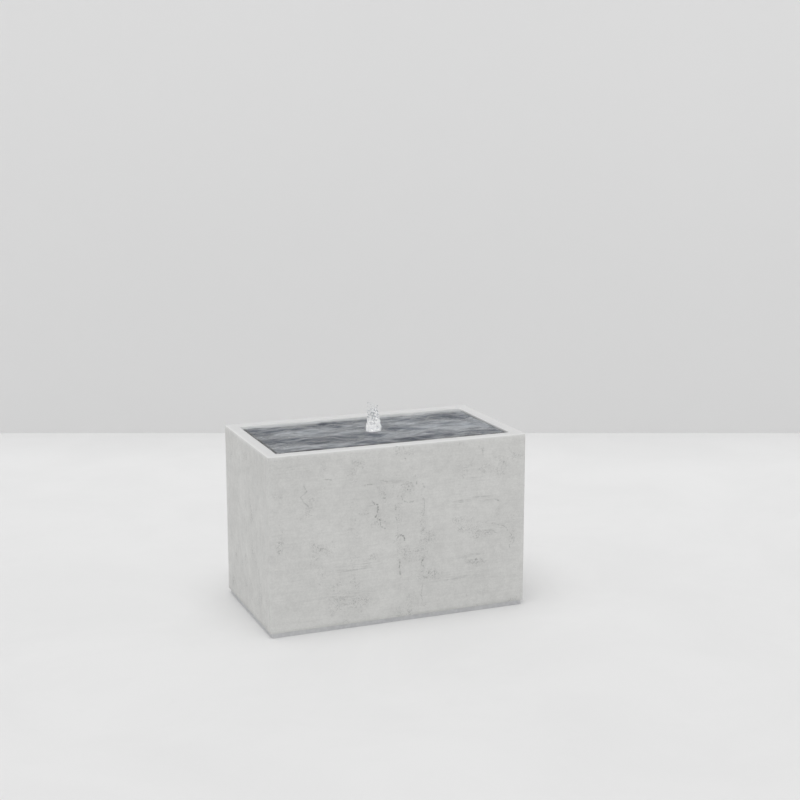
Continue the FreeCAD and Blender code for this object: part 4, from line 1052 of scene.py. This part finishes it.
def froth(material):
    """The jet: a lumpy column with a splash at its foot and drops about its top."""
    draw = random.Random(19)
    bm = bmesh.new()
    column_blobs(bm, draw)
    collar_blobs(bm, draw)
    mesh = bpy.data.meshes.new("jet_lumps")
    bm.to_mesh(mesh)
    bm.free()
    lumps = bpy.data.objects.new("jet_lumps", mesh)
    bpy.context.collection.objects.link(lumps)
    join = lumps.modifiers.new("join", "REMESH")
    join.mode = "VOXEL"
    join.voxel_size = FROTH_VOXEL
    lumps.modifiers.new("soften", "SMOOTH").iterations = 2
    joined = lumps.evaluated_get(bpy.context.evaluated_depsgraph_get())
    bm = bmesh.new()
    bm.from_mesh(joined.to_mesh())
    bpy.data.objects.remove(lumps)
    bm.normal_update()
    for v in bm.verts:
        v.co += v.normal * noise.fractal(v.co * 230.0, 0.8, 2.1, 3) * FROTH_GRAIN
    loose_drops(bm, draw)
    foot = WATER_LEVEL - JET_FOOT
    for v in bm.verts:
        v.co.z = min(max(v.co.z, foot), JET_TOP)
    mesh = bpy.data.meshes.new("jet_froth")
    bm.to_mesh(mesh)
    bm.free()
    piece = add_piece("jet_froth", mesh, material, "fountain", "white_water", "water_jet")
    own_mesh(piece)


# ------------------------------------------------------------------ stage, light, camera
CAMERA_AT = Vector((-1.760, -4.617, 1.728))
CAMERA_YAW = 21.91  # degrees to the right of +Y
CAMERA_PITCH = -11.74
CAMERA_LENS = 67.3
WALL_DISTANCE = 7.48  # in front of the camera, along the floor
CAMERA_SENSOR = 36
SKY = 0.57  # even light from all round
OVERHEAD = 0.43  # soft light from above
LAMP_WIDTH = 50  # degrees of the sky that it fills
LAMP_TILT = 12  # degrees from straight above, towards the front and the left
LAMP_SIDE = (-0.6, -0.8)
FLOOR_REACH = 12  # half depth of the floor
STAGE_REACH = 14  # half width of floor and wall
WALL_RISE = 1.6  # half height of the wall
DIMMED = 2.4  # height over which the wall's painted shade at its foot fades out


def stage_surface(name, colour, spread, scale, foot=1.0):
    """Pale painted screed: faint clouds, scuffs and veins, with painted shade that darkens it to
    foot where z is 0.
    """
    s = Surface(name, Roughness=0.72)
    clouds = s.noise(scale, 5, 0.6, 0.6)
    scuffs = s.range(s.noise(scale * 9, 5, 0.65, 1.0), 0.56, 0.75)
    bent = s.noise(scale * 2.2, 6, 0.68, 1.2)
    veins = s.range(s.math("ABSOLUTE", s.math("SUBTRACT", bent, 0.5)), 0.0, 0.012, 1.0, 0.0)
    veins = s.math("MULTIPLY", veins, s.range(s.noise(scale * 1.3, 2), 0.50, 0.64))
    scuffs = s.math("MAXIMUM", scuffs, veins)
    mixed = s.mix(s.range(clouds, 0.3, 0.7), shade(colour, 1 + spread), shade(colour, 1 - spread))
    mixed = s.mix(s.math("MULTIPLY", scuffs, 4 * spread), mixed, shade(colour, 0.86))
    # painted shade: darker towards the foot of the wall
    foot_shade = s.range(s.axes()[2], 0.0, DIMMED, foot, 1.0)
    return s.finish(s.mix(1.0, mixed, foot_shade, "MULTIPLY"))


def plane(name, centre, wide, deep, material):
    """A rectangle that reaches out from its centre by wide and deep to either side."""
    signs = ((-1, -1), (1, -1), (1, 1), (-1, 1))
    corners = [centre + wide * a + deep * b for a, b in signs]
    mesh = bpy.data.meshes.new(name)
    mesh.from_pydata([tuple(c) for c in corners], [], [(0, 1, 2, 3)])
    mesh.materials.append(material)
    obj = bpy.data.objects.new(name, mesh)
    bpy.context.collection.objects.link(obj)


def build_stage():
    yaw = math.radians(CAMERA_YAW)
    ahead = Vector((math.sin(yaw), math.cos(yaw), 0))
    aside = Vector((math.cos(yaw), -math.sin(yaw), 0)) * STAGE_REACH
    floor_paint = stage_surface("floor_paint", (0.782, 0.782, 0.782), 0.016, 1.6)
    wall_paint = stage_surface("wall_paint", (0.94, 0.94, 0.94), 0.004, 0.6, 0.90)
    foot = Vector((CAMERA_AT.x, CAMERA_AT.y, 0)) + ahead * WALL_DISTANCE
    plane("floor", foot - ahead * FLOOR_REACH, aside, ahead * FLOOR_REACH, floor_paint)
    plane("backdrop", foot + UP * WALL_RISE, aside, UP * WALL_RISE, wall_paint)


def build_light():
    world = bpy.data.worlds.new("studio")
    world.use_nodes = True
    background = world.node_tree.nodes["Background"]
    background.inputs["Color"].default_value = (1.0, 1.0, 1.0, 1)
    background.inputs["Strength"].default_value = SKY
    bpy.context.scene.world = world
    data = bpy.data.lights.new("overhead", "SUN")
    data.energy = math.pi * OVERHEAD
    data.angle = math.radians(LAMP_WIDTH)
    light = bpy.data.objects.new("overhead", data)
    bpy.context.collection.objects.link(light)
    tilt = math.radians(LAMP_TILT)
    towards = Vector((*(side * math.sin(tilt) for side in LAMP_SIDE), math.cos(tilt)))
    light.rotation_euler = towards.to_track_quat("Z", "Y").to_euler()
    bpy.context.scene.view_settings.view_transform = "Standard"


def build_camera():
    data = bpy.data.cameras.new("camera")
    data.lens = CAMERA_LENS
    data.sensor_width = CAMERA_SENSOR
    camera = bpy.data.objects.new("camera", data)
    bpy.context.collection.objects.link(camera)
    camera.location = CAMERA_AT
    camera.rotation_euler = (math.radians(90 + CAMERA_PITCH), 0, math.radians(-CAMERA_YAW))
    bpy.context.scene.camera = camera


# ------------------------------------------------------------------ build
build_camera()
build_stage()
build_light()
surfaces = slot_materials()
dress_cad_nodes(surfaces)
casing_shell(surfaces["concrete"])
water_surface(surfaces["still_water"], deep_water())
froth(surfaces["white_water"])
